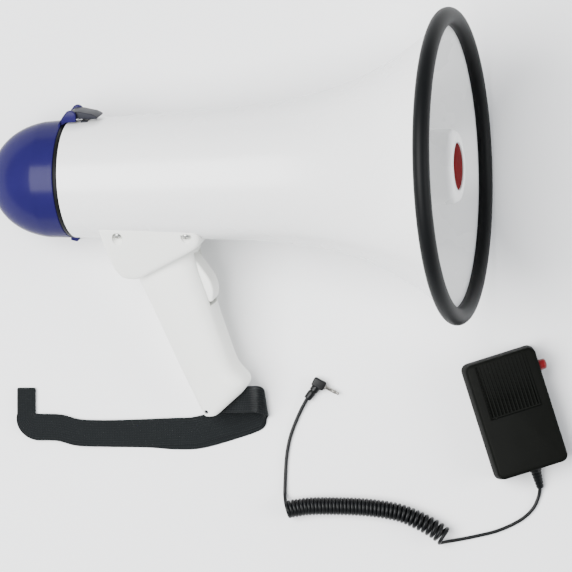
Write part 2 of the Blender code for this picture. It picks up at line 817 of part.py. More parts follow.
def saddle_outline():
    """Anticlockwise in (x, z): the bracket's slanting underside, then up its rear."""
    return [
        (0.0220, SADDLE_TOP),
        (0.0225, -0.0385),
        (0.0270, -0.0590),
        (0.0305, -0.0660),
        (0.0355, -0.0690),
        (0.0450, -0.0690),
        (0.0905, -0.0465),
        (0.0945, -0.0400),
        (0.0905, SADDLE_TOP),
    ]


def grip_stations():
    """Height, front edge and half width of the grip's sections, from the top down."""
    return [
        (-0.0440, 0.0846, 0.0150),
        (-0.0540, 0.0841, 0.0152),
        (-0.0650, 0.0852, 0.0154),
        (-0.0760, 0.0876, 0.0155),
        (-0.0860, 0.0902, 0.0155),
        (-0.0930, 0.0920, 0.0155),
        (-0.1150, 0.0970, 0.0155),
        (-0.1345, 0.1019, 0.0155),
        (-0.1400, 0.1045, 0.0154),
        (-0.1490, 0.1110, 0.0152),
        (-0.1560, 0.1074, 0.0150),
        (-0.1660, 0.0955, 0.0146),
        (-0.1765, 0.0838, 0.0140),
    ]


def grip_rings(wall):
    """The grip's rounded sections, each drawn in by a wall."""
    rings = []
    count, power = 16, 2 / 3.2
    for z, front, half in grip_stations():
        rear = GRIP_REAR - GRIP_RAKE * z
        centre, depth, width = (rear + front) / 2, (front - rear) / 2 - wall * 1.1, half - wall
        ring = []
        for i in range(count):
            c = math.cos(2 * math.pi * (i + 0.5) / count)
            s = math.sin(2 * math.pi * (i + 0.5) / count)
            x = centre + depth * math.copysign(abs(c) ** power, c)
            y = width * math.copysign(abs(s) ** power, s)
            ring.append((x, y, z))
        rings.append(ring)
    return rings


def saddle_screws():
    """Each saddle screw's place along the horn and its outward direction."""
    screws = []
    for x in SADDLE_SCREW_X:
        for side in (-1, 1):
            angle = SADDLE_SCREW_ANGLE
            screws.append((x, Vector((0.0, side * math.sin(angle), -math.cos(angle)))))
    return screws


def screw_profile(length):
    """A pan head screw along x with the underside of its head at x = 0 and a round driver's recess."""
    head, r = SCREW_HEAD, SCREW_HEAD_RADIUS
    return [
        (head * 0.45, 0.0),
        (head * 0.45, r * 0.40),
        (head, r * 0.50),
        (head * 0.7, r * 0.92),
        (0.0, r),
        (0.0, SCREW_RADIUS),
        (-length, SCREW_RADIUS),
        (-length, 0.0),
    ]


def make_grip(mega, core):
    inner_grip = loft("grip_hollow", grip_rings(GRIP_WALL)[1:-1], mega, None)
    inner = inset(saddle_outline(), GRIP_WALL)
    hollow_outline = [(inner[0][0], SADDLE_HOLLOW_TOP), *inner[2:-2], (inner[-1][0], SADDLE_HOLLOW_TOP)]
    wall = GRIP_WALL * math.hypot(1.0, SADDLE_TAPER)
    saddle_hollow = prism(
        "saddle_hollow", hollow_outline, lambda z: saddle_half_width(z) - wall, mega, None
    )
    grip = loft("grip_solid", grip_rings(0.0), mega, None)
    pivot_x, pivot_z = TRIGGER_PIVOT
    slot = block(
        "trigger_slot",
        (pivot_x - 0.0060, -TRIGGER_HALF_WIDTH - FREE, -0.0925),
        (pivot_x + 0.0300, TRIGGER_HALF_WIDTH + FREE, pivot_z + 0.0050),
        mega,
        None,
    )
    seat = TRIGGER_HALF_WIDTH + FREE + TRIGGER_PIN_SEAT
    trigger_bore = rod(
        "trigger_bore",
        (pivot_x, -seat, pivot_z),
        (pivot_x, seat, pivot_z),
        TRIGGER_PIN_RADIUS + RUNNING,
        mega,
        None,
    )
    pin_x, pin_z = STRAP_PIN
    strap_slot = block(
        "strap_slot",
        (pin_x + 0.0022, -STRAP_THICKNESS / 2 - FREE, STRAP_LEVEL - STRAP_WIDTH / 2 - FREE),
        (pin_x + 0.0400, STRAP_THICKNESS / 2 + FREE, STRAP_LEVEL + STRAP_WIDTH / 2 + FREE),
        mega,
        None,
    )
    strap_hole = rod(
        "strap_pin_hole",
        (pin_x, -0.0300, pin_z),
        (pin_x, 0.0300, pin_z),
        STRAP_PIN_RADIUS + RUNNING,
        mega,
        None,
        sides=12,
    )
    normal = Vector((0.0, 1.0, -SADDLE_TAPER)).normalized()
    fittings = []
    for name, (x, z), radius in (
        ("knob_hole", KNOB_AT, 0.0032),
        ("socket_hole", SOCKET_AT, 0.0034),
    ):
        middle = Vector((x, saddle_half_width(z), z))
        fittings.append(rod(name, middle - normal * 0.006, middle + normal * 0.004, radius, mega, None))
    x, z = SWITCH_AT
    middle = Vector((x, saddle_half_width(z), z))
    window = block(
        "switch_window",
        (-0.0030 - FREE, -0.0060, -0.0020 - FREE),
        (0.0030 + SWITCH_TRAVEL + FREE, 0.0060, 0.0020 + FREE),
        mega,
        None,
        at=middle,
    )
    window.rotation_euler = (-math.atan(SADDLE_TAPER), 0.0, 0.0)
    fittings.append(window)

    pockets = []
    for i, (x, direction) in enumerate(saddle_screws()):
        seat = horn_radius(x) + SADDLE_SCREW_SEAT
        foot = Vector((x, 0.0, 0.0))
        hole = rod(
            f"saddle_hole_{i}",
            foot + direction * (seat - 0.004),
            foot + direction * (seat + 0.002),
            SCREW_RADIUS + GAP,
            mega,
            None,
            sides=12,
        )
        pocket = rod(
            f"saddle_pocket_{i}",
            foot + direction * (seat - GAP),
            foot + direction * (seat + 0.012),
            SCREW_HEAD_RADIUS + GAP + 0.0003,
            mega,
            None,
            sides=16,
        )
        pockets += [(hole, direction.y), (pocket, direction.y)]
        screw = screw_profile(0.0070)
        where = {"at": foot + direction * seat, "along": direction}
        turned(f"saddle_screw_{i + 1}", screw, mega, "steel", steps=10, **where)

    for name, side in (("handle_right", -1), ("handle_left", 1)):
        half = prism(name, saddle_outline(), saddle_half_width, mega, "white plastic")
        bevel(half, SADDLE_BEVEL, segments=2, angle=55)
        boolean(half, grip, "UNION")
        for cutter in (saddle_hollow, inner_grip, core, slot, trigger_bore, strap_slot, strap_hole):
            boolean(half, cutter)
        for cutter, way in pockets:
            if way * side > 0:
                boolean(half, cutter)
        if side > 0:
            for cutter in fittings:
                boolean(half, cutter)
        ends = sorted((side * GAP / 2, side * 0.0500))
        keep = block(f"{name}_side", (-0.02, ends[0], -0.20), (0.20, ends[1], 0.02), mega, None)
        boolean(half, keep, "INTERSECT")
        if side > 0:
            make_grip_screws(mega, half)

    strap_pin_half = 0.0120
    rod(
        "strap_pin",
        (pin_x, -strap_pin_half, pin_z),
        (pin_x, strap_pin_half, pin_z),
        STRAP_PIN_RADIUS,
        mega,
        "steel",
        sides=12,
    )
    return trigger_bore


def make_grip_screws(mega, half):
    """The two screws that close the grip, on its left side."""
    for i, (x, z) in enumerate(((0.0700, -0.1020), (0.0830, -0.1420))):
        seat = Vector((x, 0.0128, z))
        side = Vector((0.0, 1.0, 0.0))
        reach = side * 0.0060
        hole = rod(f"grip_hole_{i}", seat - reach, seat + reach, SCREW_RADIUS + GAP, mega, None, sides=12)
        pocket = rod(
            f"grip_pocket_{i}", seat - side * GAP + side * 0.0008, seat + reach,
            SCREW_HEAD_RADIUS + GAP, mega, None,
        )
        boolean(half, hole)
        boolean(half, pocket)
        place = seat + side * (0.0008 + GAP)
        turned(
            f"grip_screw_{i + 1}", screw_profile(0.0110), mega, "steel", steps=10, at=place, along=side
        )


def make_trigger(mega, trigger, bore):
    x, z = TRIGGER_PIVOT
    outline = [
        (x + 0.0032, z + 0.0022),
        *arc((x, z), 0.0036, 60, 200, 5),
        (x - 0.0022, z - 0.0150),
        (x + 0.0030, z - 0.0305),
        (0.0925, -0.0900),
        (0.0941, -0.0832),
        (0.0935, -0.0778),
        (0.0915, -0.0725),
        (0.0885, -0.0675),
        (0.0850, -0.0620),
    ]
    piece = prism("trigger", outline, TRIGGER_HALF_WIDTH, trigger, "white plastic")
    bevel(piece, 0.0010, segments=2)
    boolean(piece, bore)
    reach = TRIGGER_HALF_WIDTH + FREE + TRIGGER_PIN_SEAT - GAP
    rod("trigger_pin", (x, -reach, z), (x, reach, z), TRIGGER_PIN_RADIUS, mega, "steel")
    switch = block(
        "trigger_switch", (0.0550, -0.0032, -0.0800), (0.0715, 0.0032, -0.0700), mega, "black plastic"
    )
    bevel(switch, 0.0004, segments=1)
    board = block(
        "amplifier_board", (0.0360, -0.0120, -0.0640), (0.0600, 0.0120, -0.0624), mega, "board"
    )
    bevel(board, 0.0002, segments=1)


def make_controls(mega, knob, selector):
    normal = Vector((0.0, 1.0, -SADDLE_TAPER)).normalized()
    x, z = KNOB_AT
    face = Vector((x, saddle_half_width(z), z))
    lift = 0.0006
    top, shaft = lift + KNOB_HEIGHT, lift + KNOB_HEIGHT - 0.0020
    bore = 0.0030 + RUNNING
    skirt = KNOB_RADIUS
    profile = [(top, 0.0), (top, skirt - 0.0012), (top - 0.0010, skirt - 0.0004), (lift, skirt)]
    profile += [(lift, bore), (shaft + GAP, bore), (shaft + GAP, 0.0)]
    dial = turned("volume_knob", profile, knob, "black plastic", at=face, along=normal)
    mark = rod(
        "knob_mark",
        face + normal * (top + 0.0006) + Vector((skirt * 0.35, 0.0, 0.0)),
        face + normal * (top + 0.0006) + Vector((skirt * 1.3, 0.0, 0.0)),
        0.0011,
        knob,
        None,
        sides=8,
    )
    boolean(dial, mark)
    under = -GRIP_WALL - GAP
    pot = [(shaft, 0.0), (shaft, 0.0030), (under, 0.0030), (under, 0.0080)]
    pot += [(under - 0.0060, 0.0080), (under - 0.0060, 0.0)]
    turned("volume_pot", pot, mega, "steel", steps=20, at=face, along=normal)

    x, z = SOCKET_AT
    face = Vector((x, saddle_half_width(z), z))
    hole, nut = PLUG_PIN_RADIUS + 0.00015, 0.0045
    ring = [(0.0022, hole), (0.0022, nut - 0.0008), (0.0012, nut), (GAP, nut), (GAP, 0.0031)]
    ring += [(-0.0080, 0.0031), (-0.0080, hole)]
    turned("mic_socket", ring, mega, "steel", steps=24, closed=True, at=face, along=normal)

    x, z = SWITCH_AT
    face = Vector((x, saddle_half_width(z), z))
    tab = block(
        "siren_switch", (-0.0030, -0.0040, -0.0020), (0.0030, 0.0030, 0.0020),
        selector, "black plastic", at=face,
    )
    tab.rotation_euler = (-math.atan(SADDLE_TAPER), 0.0, 0.0)
    bevel(tab, 0.0005, segments=1)


# ---------------------------------------------------------------- strap


def strap_sections(mega_matrix):
    """Centre, half width and half thickness of the doubled strap, from inside the grip to its bight."""
    half, thick = STRAP_WIDTH / 2, STRAP_THICKNESS / 2
    turn = mega_matrix.to_3x3()
    along, across, normal = turn.col[0], turn.col[2], -turn.col[1]
    root = mega_matrix @ Vector((STRAP_PIN[0] + 0.0030, 0.0, STRAP_LEVEL))
    mouth = mega_matrix @ Vector((STRAP_PIN[0] + 0.0300, 0.0, STRAP_LEVEL))
    sections = [(root, across * half, normal * thick), (mouth, across * half, normal * thick)]
    fold_x, fold_y = STRAP_FOLD_AT
    bend = 0.0032
    first = STRAP_RUN[0]
    run = (Vector(STRAP_RUN[0]) - Vector(STRAP_RUN[1])).normalized()
    across_run = Vector((-run.y, run.x, 0.0))
    plan = Vector((0.0, 1.0, 0.0))
    hump = Vector((fold_x - 0.0020, fold_y, 2 * bend + thick + 0.0016))
    sections.append((hump, plan * half, Vector((0.12, 0.0, 1.0)).normalized() * thick))
    for i in range(1, 4):
        angle = math.pi * (0.5 - i / 4)
        share = i / 4
        centre = Vector((fold_x, fold_y, thick + bend)).lerp(Vector((*first, thick + bend)), share * 0.5)
        centre += Vector((math.cos(angle) * bend, 0.0, math.sin(angle) * bend))
        width = plan.lerp(across_run, share).normalized()
        out = Vector((math.cos(angle), 0.0, math.sin(angle)))
        sections.append((centre, width * half, out * thick))
    points = [Vector((*point, thick)) for point in STRAP_RUN]
    down = Vector((0.0, 0.0, -thick))
    for i, point in enumerate(points):
        ahead = (points[max(i - 1, 0)] - points[min(i + 1, len(points) - 1)]).normalized()
        sections.append((point, Vector((-ahead.y, ahead.x, 0.0)) * half, down))
    corner = Vector((*STRAP_CORNER, thick))
    tab = STRAP_TAB_WIDTH / 2
    mitre = Vector((tab, half, 0.0))
    sections.append((corner, mitre, down))
    end = corner + Vector((0.0, STRAP_TAB_LENGTH, 0.0))
    for share in (0.5, 1.0):
        sections.append((corner.lerp(end, share), Vector((tab, 0.0, 0.0)), down))
    return sections


def make_strap(layout, mega_matrix):
    rings = []
    for centre, width, thick in strap_sections(mega_matrix):
        rings.append([centre + width + thick, centre - width + thick, centre - width - thick, centre + width - thick])
    loft("wrist_strap", rings, layout, "webbing")


# ---------------------------------------------------------------- microphone


def case_half(name, low, high, face, mic, finish):
    """One half of the case: rounded upright corners, a softened face, and a hollow open to the other half."""
    half_x, half_y = MIC_WIDTH / 2, MIC_LENGTH / 2
    corners = []
    for sx, sy, start in ((1, 1, 0), (-1, 1, 90), (-1, -1, 180), (1, -1, 270)):
        centre = (sx * (half_x - MIC_CORNER), sy * (half_y - MIC_CORNER))
        corners += arc(centre, MIC_CORNER, start, start + 90, 4)
    levels = [low, high]
    edge = [(MIC_EDGE, 0.0), (MIC_EDGE * 0.3, MIC_EDGE * 0.3), (0.0, MIC_EDGE)]
    rings = []
    direction = 1 if face == low else -1
    for draw, depth in edge:
        rings.append((face + direction * depth, draw))
    rings.append((levels[1] if face == low else levels[0], 0.0))
    loops = []
    for z, draw in rings:
        scale_x, scale_y = (half_x - draw) / half_x, (half_y - draw) / half_y
        loops.append([(x * scale_x, y * scale_y, z) for x, y in corners])
    shell = loft(name, loops, mic, finish)
    open_end = high + 0.01 if face == low else low - 0.01
    inner_face = face + direction * MIC_WALL
    hollow = [
        [(x * (1 - MIC_WALL / half_x), y * (1 - MIC_WALL / half_y), z) for x, y in corners]
        for z in (inner_face, open_end)
    ]
    boolean(shell, loft(name + "_hollow", hollow, mic, None))
    return shell


def make_microphone(mic, ptt):
    half_x, half_y = MIC_WIDTH / 2, MIC_LENGTH / 2
    back = case_half("mic_back_shell", 0.0, MIC_SPLIT, 0.0, mic, "black plastic")
    front = case_half(
        "mic_front_shell", MIC_SPLIT + GAP, MIC_THICKNESS, MIC_THICKNESS, mic, "black plastic"
    )
    grille_half = MIC_WIDTH * 0.34
    pitch = 2 * grille_half / GRILLE_RIBS
    top = half_y - 0.0030
    grooves = []
    for i in range(GRILLE_RIBS):
        x = -grille_half + pitch * (i + 0.5)
        grooves.append(
            block(
                f"grille_groove_{i}",
                (x - pitch * 0.24, top - GRILLE_LENGTH + 0.001, MIC_THICKNESS - 0.0010),
                (x + pitch * 0.24, top, MIC_THICKNESS + 0.0010),
                mic,
                None,
            )
        )
    for groove in grooves:
        boolean(front, groove)
    along, height = PTT_AT
    hole = rod(
        "ptt_hole", (half_x - 0.010, along, height), (half_x + 0.004, along, height),
        PTT_RADIUS + GAP, mic, None, sides=20,
    )
    boolean(front, hole)
    button = turned(
        "ptt_button",
        [
            (half_x + PTT_PROUD, 0.0),
            (half_x + PTT_PROUD, PTT_RADIUS - 0.0012),
            (half_x + PTT_PROUD - 0.0010, PTT_RADIUS),
            (half_x - 0.0040, PTT_RADIUS),
            (half_x - 0.0040, 0.0),
        ],
        ptt,
        "red plastic",
        steps=20,
        at=(0.0, along, height),
    )
    block(
        "mic_switch",
        (half_x - 0.0150, along - 0.0045, height - 0.0035),
        (half_x - 0.0075, along + 0.0045, height + 0.0035),
        mic,
        "black plastic",
    )
    rod(
        "mic_capsule", (-0.004, 0.0210, 0.0140), (-0.004, 0.0210, MIC_THICKNESS - MIC_WALL - GAP),
        0.0095, mic, "steel", sides=24,
    )
    boss = MIC_SPLIT + GAP + 0.0040
    for i, (x, y) in enumerate(((-0.0150, -0.0280), (0.0150, 0.0080))):
        place = Vector((x, y, MIC_WALL * 0.6))
        shank = rod(f"mic_screw_hole_{i}", (x, y, -0.002), (x, y, 0.006), SCREW_RADIUS + GAP, mic, None, sides=12)
        sink = rod(
            f"mic_screw_sink_{i}", (x, y, -0.002), (x, y, place.z), SCREW_HEAD_RADIUS * 0.8 + GAP,
            mic, None, sides=16,
        )
        boolean(back, shank)
        boolean(back, sink)
        head = SCREW_HEAD_RADIUS * 0.8
        profile = [(0.0007, 0.0), (0.0007, head), (0.0, head), (0.0, SCREW_RADIUS), (-boss, SCREW_RADIUS)]
        turned(
            f"mic_screw_{i + 1}", [*profile, (-boss, 0.0)], mic, "steel", steps=16,
            at=(x, y, place.z - GAP), along=(0.0, 0.0, -1.0),
        )
    make_relief(mic)


def make_relief(mic):
    """The tapered boot that the cord leaves the microphone through."""
    x = RELIEF_X
    start = -MIC_LENGTH / 2 - GAP
    profile = [(RELIEF_LENGTH, 0.0), (RELIEF_LENGTH, 0.0026)]
    rings = 3
    for i in range(rings):
        share = (i + 0.5) / rings
        place = RELIEF_LENGTH * (0.82 - 0.55 * share)
        radius = 0.0027 + 0.0010 * share
        profile += [(place + 0.0006, radius), (place + 0.0002, radius - 0.0005), (place - 0.0004, radius - 0.0005)]
    profile += [(0.0020, 0.0039), (0.0, 0.0039), (0.0, 0.0)]
    end = Vector((x - 0.0006, start - RELIEF_LENGTH, 0.0036))
    direction = (end - Vector((x, start, 0.0078))).normalized()
    turned(
        "mic_strain_relief", profile, mic, "black plastic", steps=12,
        at=(x, start - 0.0012, 0.0078), along=direction,
    )


def make_cord(mic_frame):
    radius = CORD_DIAMETER / 2
    step = 2.4 * CORD_DIAMETER
    tube("cord_tail", smooth_curve(TAIL_ROUTE, step), radius, mic_frame, "rubber")
    tube("cord_coil", smooth_curve(COIL_ROUTE, COIL_DIAMETER / 2), COIL_DIAMETER / 2, mic_frame, "rubber", 3)
    tube("cord_lead", smooth_curve(LEAD_ROUTE, step), radius, mic_frame, "rubber")
    across = Matrix.Rotation(PLUG_TURN, 3, "Z")
    head = Vector((*PLUG_HEAD_AT, PLUG_THICKNESS / 2))
    half = PLUG_THICKNESS / 2
    body = block(
        "plug_body", (-0.0048, -0.0034, -half), (0.0048, 0.0034, half), mic_frame, "rubber", at=head
    )
    body.rotation_euler = (0.0, 0.0, PLUG_TURN)
    bevel(body, 0.0012, segments=2)
    end = Vector(LEAD_ROUTE[-1])
    away = (head - end).normalized()
    boot = rod("plug_boot", end + away * GAP, head, 0.0024, mic_frame, None, sides=12, end_radius=0.0031)
    boolean(body, boot, "UNION")
    pin = across @ Vector((1.0, 0.0, 0.0))
    start = head + pin * (0.0048 + GAP)
    direction = {"at": start, "along": pin}
    r, length = PLUG_PIN_RADIUS, 0.0112
    tip = [(length, 0.0), (length - 0.0008, r * 0.85), (length - 0.0018, r * 0.55), (length - 0.0026, r)]
    turned("plug_pin", [*tip, (0.0, r), (0.0, 0.0)], mic_frame, "steel", steps=16, **direction)


# ---------------------------------------------------------------- assembly

HOMES = {}

clear_scene()
PARTS = collection("handheld_megaphone")
CUTTERS = collection("cutters")

layout = frame("layout")
layout.location = LAYOUT_ORIGIN

mega = frame("megaphone", layout)
mega.matrix_local = megaphone_matrix()
core = turned("horn_core", core_profile(-0.02, 0.150, GAP), mega, None, steps=36)
notch, bore = make_horn(mega)
make_trim(mega)
make_catch(mega, core)
diaphragm = frame("diaphragm_slide", mega, (BULKHEAD_X, 0.0, 0.0))
make_driver(mega, diaphragm)
make_centre_horn(mega)
make_batteries(mega)

cover = frame("rear_cover_hinge", mega, hinge_axis())
make_cover(cover, notch, bore)
latch = frame("latch_hinge", cover, (LATCH_PIVOT[0], 0.0, LATCH_PIVOT[1]))
make_latch(latch)

trigger_bore = make_grip(mega, core)
trigger = frame("trigger_hinge", mega, (TRIGGER_PIVOT[0], 0.0, TRIGGER_PIVOT[1]))
make_trigger(mega, trigger, trigger_bore)
knob = frame("volume_knob_axis", mega, (KNOB_AT[0], saddle_half_width(KNOB_AT[1]), KNOB_AT[1]))
selector = frame("siren_switch_slide", mega, (SWITCH_AT[0], saddle_half_width(SWITCH_AT[1]), SWITCH_AT[1]))
make_controls(mega, knob, selector)
make_strap(layout, megaphone_matrix())

desk = frame("microphone_set", layout)
mic = frame("microphone", desk)
mic.location = (*MICROPHONE_AT, 0.0)
mic.rotation_euler = (0.0, 0.0, MICROPHONE_TURN)
ptt = frame("ptt_slide", mic, (MIC_WIDTH / 2, *PTT_AT))
make_microphone(mic, ptt)
make_cord(desk)
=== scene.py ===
# %% [markdown]
# # A handheld megaphone, its wrist strap and its hand microphone
#
# The imported model gives every piece's place and every joint. This lesson dresses it: smooth surfaces
# worked out with numpy stand for the faceted solids, and each gets the finish of the real material.
# The imported model is loaded first, and its box is kept: the floor is laid just under it.

import json
import math

import bmesh
import bpy
import numpy as np
from mathutils import Matrix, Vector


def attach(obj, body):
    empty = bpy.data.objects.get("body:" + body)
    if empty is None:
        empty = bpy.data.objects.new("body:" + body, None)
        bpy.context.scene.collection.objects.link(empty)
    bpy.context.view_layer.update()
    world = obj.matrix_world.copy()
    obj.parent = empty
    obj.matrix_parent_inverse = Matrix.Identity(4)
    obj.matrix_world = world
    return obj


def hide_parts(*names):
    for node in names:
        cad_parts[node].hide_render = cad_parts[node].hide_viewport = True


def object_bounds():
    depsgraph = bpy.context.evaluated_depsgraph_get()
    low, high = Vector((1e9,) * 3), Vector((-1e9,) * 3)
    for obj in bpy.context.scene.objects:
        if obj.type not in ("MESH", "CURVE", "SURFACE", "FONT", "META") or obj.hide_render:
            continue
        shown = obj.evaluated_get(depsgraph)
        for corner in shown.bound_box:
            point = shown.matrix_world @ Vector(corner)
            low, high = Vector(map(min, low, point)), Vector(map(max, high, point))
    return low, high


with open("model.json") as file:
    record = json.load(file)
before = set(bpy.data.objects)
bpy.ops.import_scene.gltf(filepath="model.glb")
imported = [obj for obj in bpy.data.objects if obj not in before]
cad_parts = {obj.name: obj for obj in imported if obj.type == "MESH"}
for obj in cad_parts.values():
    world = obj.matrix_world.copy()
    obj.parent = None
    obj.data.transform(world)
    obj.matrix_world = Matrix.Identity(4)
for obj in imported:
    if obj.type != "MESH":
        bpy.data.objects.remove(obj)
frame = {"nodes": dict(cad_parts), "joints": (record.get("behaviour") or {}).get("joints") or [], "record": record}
cad_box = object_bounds()
record = frame["record"]
nodes = frame["nodes"]
joints = {joint["name"]: joint for joint in frame["joints"]}

# %% [markdown]
# The megaphone is drawn along its own axes: x towards the mouth, y to the side it lies on, z away from the
# grip. Its joints say how those axes lie, so a piece can be worked out upright and then placed. The
# microphone has axes of its own: x across, y along, z out of its face.

# %% Axes of the megaphone and of the microphone
HINGE_X, HINGE_Z = -0.0015, -0.0414  # the cover hinge's place in the megaphone's own axes
MOUNT_Y = -0.010  # the back mount's place along the microphone
SET_CENTRE = np.array([0.0038, -0.02717, 0.0])  # the middle of the layout, on the floor


def axes_at(x_axis, y_axis, origin):
    """A 3 x 4 placing: three square axes as columns, made from two directions, then the origin."""
    x_axis = np.array(x_axis, float) / np.linalg.norm(x_axis)
    y_axis = np.array(y_axis, float)
    y_axis = y_axis - x_axis * (x_axis @ y_axis)
    y_axis = y_axis / np.linalg.norm(y_axis)
    return np.column_stack([x_axis, y_axis, np.cross(x_axis, y_axis), origin])


def placed(points, at):
    """Points of a piece's own axes, carried to where the piece lies."""
    return np.asarray(points, float) @ at[:, :3].T + at[:, 3]


away = -np.array(joints["rear_cover_hinge"]["axis"])
MEGAPHONE = axes_at(joints["siren_switch_slide"]["axis"], away, (0, 0, 0))
MEGAPHONE[:, 3] = joints["rear_cover_hinge"]["pos_m"] - placed([HINGE_X, 0, HINGE_Z], MEGAPHONE)
across = -np.array(joints["ptt_press"]["axis"])
MICROPHONE = axes_at(across, (-across[1], across[0], 0), (0, 0, 0))
MICROPHONE[:, 3] = record["mounts"][0]["pos_m"] - placed([0, MOUNT_Y, 0], MICROPHONE)
print("rear joint at", MEGAPHONE[:, 3].round(4), "microphone at", MICROPHONE[:, 3].round(4))

# %% [markdown]
# A studio for a catalogue picture: a pale floor, a wide soft box high on the left that draws the long
# highlight along the horn, a weaker one on the right that lights the inside of the bell, and an even pale
# surrounding that keeps the shadows light. The camera looks almost straight down on the set, from far off,
# through a long lens.

# %% Studio and camera
CAMERA_REACH = 2.4
CAMERA_LEAN = math.radians(2.0)
PICTURE_WIDTH = 0.4061  # of the floor, across the picture
SENSOR = 36.0  # mm
SURROUND = (0.40, 0.43, 0.47)  # radiance, slightly cool
BOXES = {  # place from the middle of the set, width and height, watts
    "box_left": ((-1.01, 0.0, 1.96), (1.7, 1.8), 150),
    "box_right": ((2.0, -0.1, 1.1), (1.2, 1.2), 34),
}


def linear(hex_colour):
    """An sRGB colour such as f4f4f2 as linear red, green and blue, by the standard's two-part curve."""
    parts = np.array([int(hex_colour[i : i + 2], 16) for i in (0, 2, 4)]) / 255
    return tuple(np.where(parts <= 0.04045, parts / 12.92, ((parts + 0.055) / 1.055) ** 2.4))


def aim(obj, start, target):
    """Stands a camera or a light at start, its -z towards target and its y as near to +y as it can be."""
    out = np.subtract(start, target) / np.linalg.norm(np.subtract(start, target))
    side = np.cross((0.0, 1.0, 0.0), out)
    side = side / np.linalg.norm(side)
    turn = np.column_stack([side, np.cross(out, side), out, start])
    obj.matrix_world = Matrix(np.vstack([turn, [0, 0, 0, 1]]).tolist())
    bpy.context.scene.collection.objects.link(obj)


lens = bpy.data.cameras.new("long_lens")
lens.sensor_width, lens.lens = SENSOR, SENSOR * CAMERA_REACH / PICTURE_WIDTH
camera = bpy.data.objects.new("camera", lens)
lean = np.array([math.sin(CAMERA_LEAN), 0.0, math.cos(CAMERA_LEAN)])
aim(camera, SET_CENTRE + CAMERA_REACH * lean, SET_CENTRE)
bpy.context.scene.camera = camera

surround = bpy.data.worlds.new("pale_room")
surround.use_nodes = True
surround.node_tree.nodes["Background"].inputs["Color"].default_value = (*SURROUND, 1)
bpy.context.scene.world = surround
for name, (start, size, watts) in BOXES.items():
    light = bpy.data.lights.new(name, "AREA")
    light.shape, light.size, light.size_y, light.energy = "RECTANGLE", *size, watts
    aim(bpy.data.objects.new(name, light), SET_CENTRE + start, SET_CENTRE)
print("lens", round(lens.lens, 1), "mm,", len(BOXES), "soft boxes")

# %% [markdown]
# A finish starts from what the real material is. One small helper adds a shader node with its settings and
# links, and every finish below is built with it. Patterns read Object coordinates, which are metres here,
# because every piece sits at the origin.

# %% Shader helpers
MM = 0.001


def node(tree, kind, settings=None, **sockets):
    """Adds a node: settings are its properties, and each socket, called by its name or by i and its number,
    takes a value or another node's output."""
    made = tree.nodes.new("ShaderNode" + kind)
    for key, value in (settings or {}).items():
        setattr(made, key, value)
    for key, value in sockets.items():
        numbered = key[0] == "i" and key[1:].isdigit()
        socket = made.inputs[int(key[1:]) if numbered else key.replace("_", " ")]
        if isinstance(value, bpy.types.NodeSocket):
            tree.links.new(value, socket)
        else:
            socket.default_value = value
    return made


def patches(tree, size_mm, detail=2.0):
    """Noise from 0 to 1 in lumps of about this size, fixed to the piece."""
    place = node(tree, "TexCoord")
    noise = node(tree, "TexNoise", Vector=place.outputs["Object"], Scale=1 / (size_mm * MM), Detail=detail)
    return noise.outputs["Fac"]


def blend(tree, share, one, two):
    """A colour between two, by another node's share from 0 to 1."""
    ends = {"i6": (*linear(one), 1.0), "i7": (*linear(two), 1.0)}
    return node(tree, "Mix", {"data_type": "RGBA"}, i0=share, **ends).outputs[2]


def finish(name, colour, roughness, grain=None, metallic=0.0, ior=None, coat=0.0, sheen=0.0):
    """A material with one Principled shader. colour and roughness are each one value, or three: two values
    and the size in mm of the patches over which it drifts between them. grain is the size and the depth of
    the bumps in mm, and sometimes their detail."""
    made = bpy.data.materials.new(name)
    made.use_nodes = True
    tree = made.node_tree
    shader = tree.nodes["Principled BSDF"]
    plain = {"Metallic": metallic, "Coat Weight": coat, "Sheen Weight": sheen}
    if isinstance(colour, tuple):
        one, two, size_mm = colour
        tree.links.new(blend(tree, patches(tree, size_mm), one, two), shader.inputs["Base Color"])
    else:
        plain["Base Color"] = (*linear(colour), 1.0)
    if isinstance(roughness, tuple):
        low, high, size_mm = roughness
        span = node(tree, "MapRange", i0=patches(tree, size_mm), i3=low, i4=high)
        tree.links.new(span.outputs["Result"], shader.inputs["Roughness"])
    else:
        plain |= {"Roughness": roughness, "Coat Roughness": roughness}
    if ior:
        plain["IOR"] = ior
    for socket, value in plain.items():
        shader.inputs[socket].default_value = value
    if grain:
        size_mm, depth_mm, *detail = grain
        bump = node(tree, "Bump", Height=patches(tree, size_mm, *detail), Distance=depth_mm * MM)
        for socket in ("Normal", "Coat Normal"):
            tree.links.new(bump.outputs["Normal"], shader.inputs[socket])
    return made


# %% [markdown]
# The plastics. ABS from a polished mould is glossy, with a faint ripple from shrinkage. A spark-eroded mould
# leaves a fine matt grain. Real grain is about 0.1 mm, and here it is drawn 0.35 to 0.6 mm across, so that it
# shows. Under this much pale light a dark gloss would turn grey at its edges, so a dark piece has almost no
# shine of its own and a thin share of clear gloss over it.

# %% Plastics
ABS_IOR = 1.53
EDGE_IOR = 1.03  # of a dark piece under its share of clear gloss, so that it stays dark to its edge

# A clean, bright white whose wide highlight wavers a little along the horn.
HORN_WHITE = finish("abs_gloss_moulded_white", "f1f1f0", (0.22, 0.32, 30), (14, 0.05, 1.0), ior=ABS_IOR)
# The same white without the gloss, and a touch warmer: the grain only dulls its shine.
GRIP_WHITE = finish("abs_spark_eroded_white", ("f2f2ed", "edeee8", 25), 0.42, (0.45, 0.012), ior=ABS_IOR)
# A deep blue that keeps its colour to the edge and shows the soft box as one pale patch.
COVER_BLUE = finish("abs_gloss_moulded_blue", ("1f1a4c", "1b1644", 18), 0.22, (9, 0.03, 1.0),
                    ior=EDGE_IOR, coat=0.17)
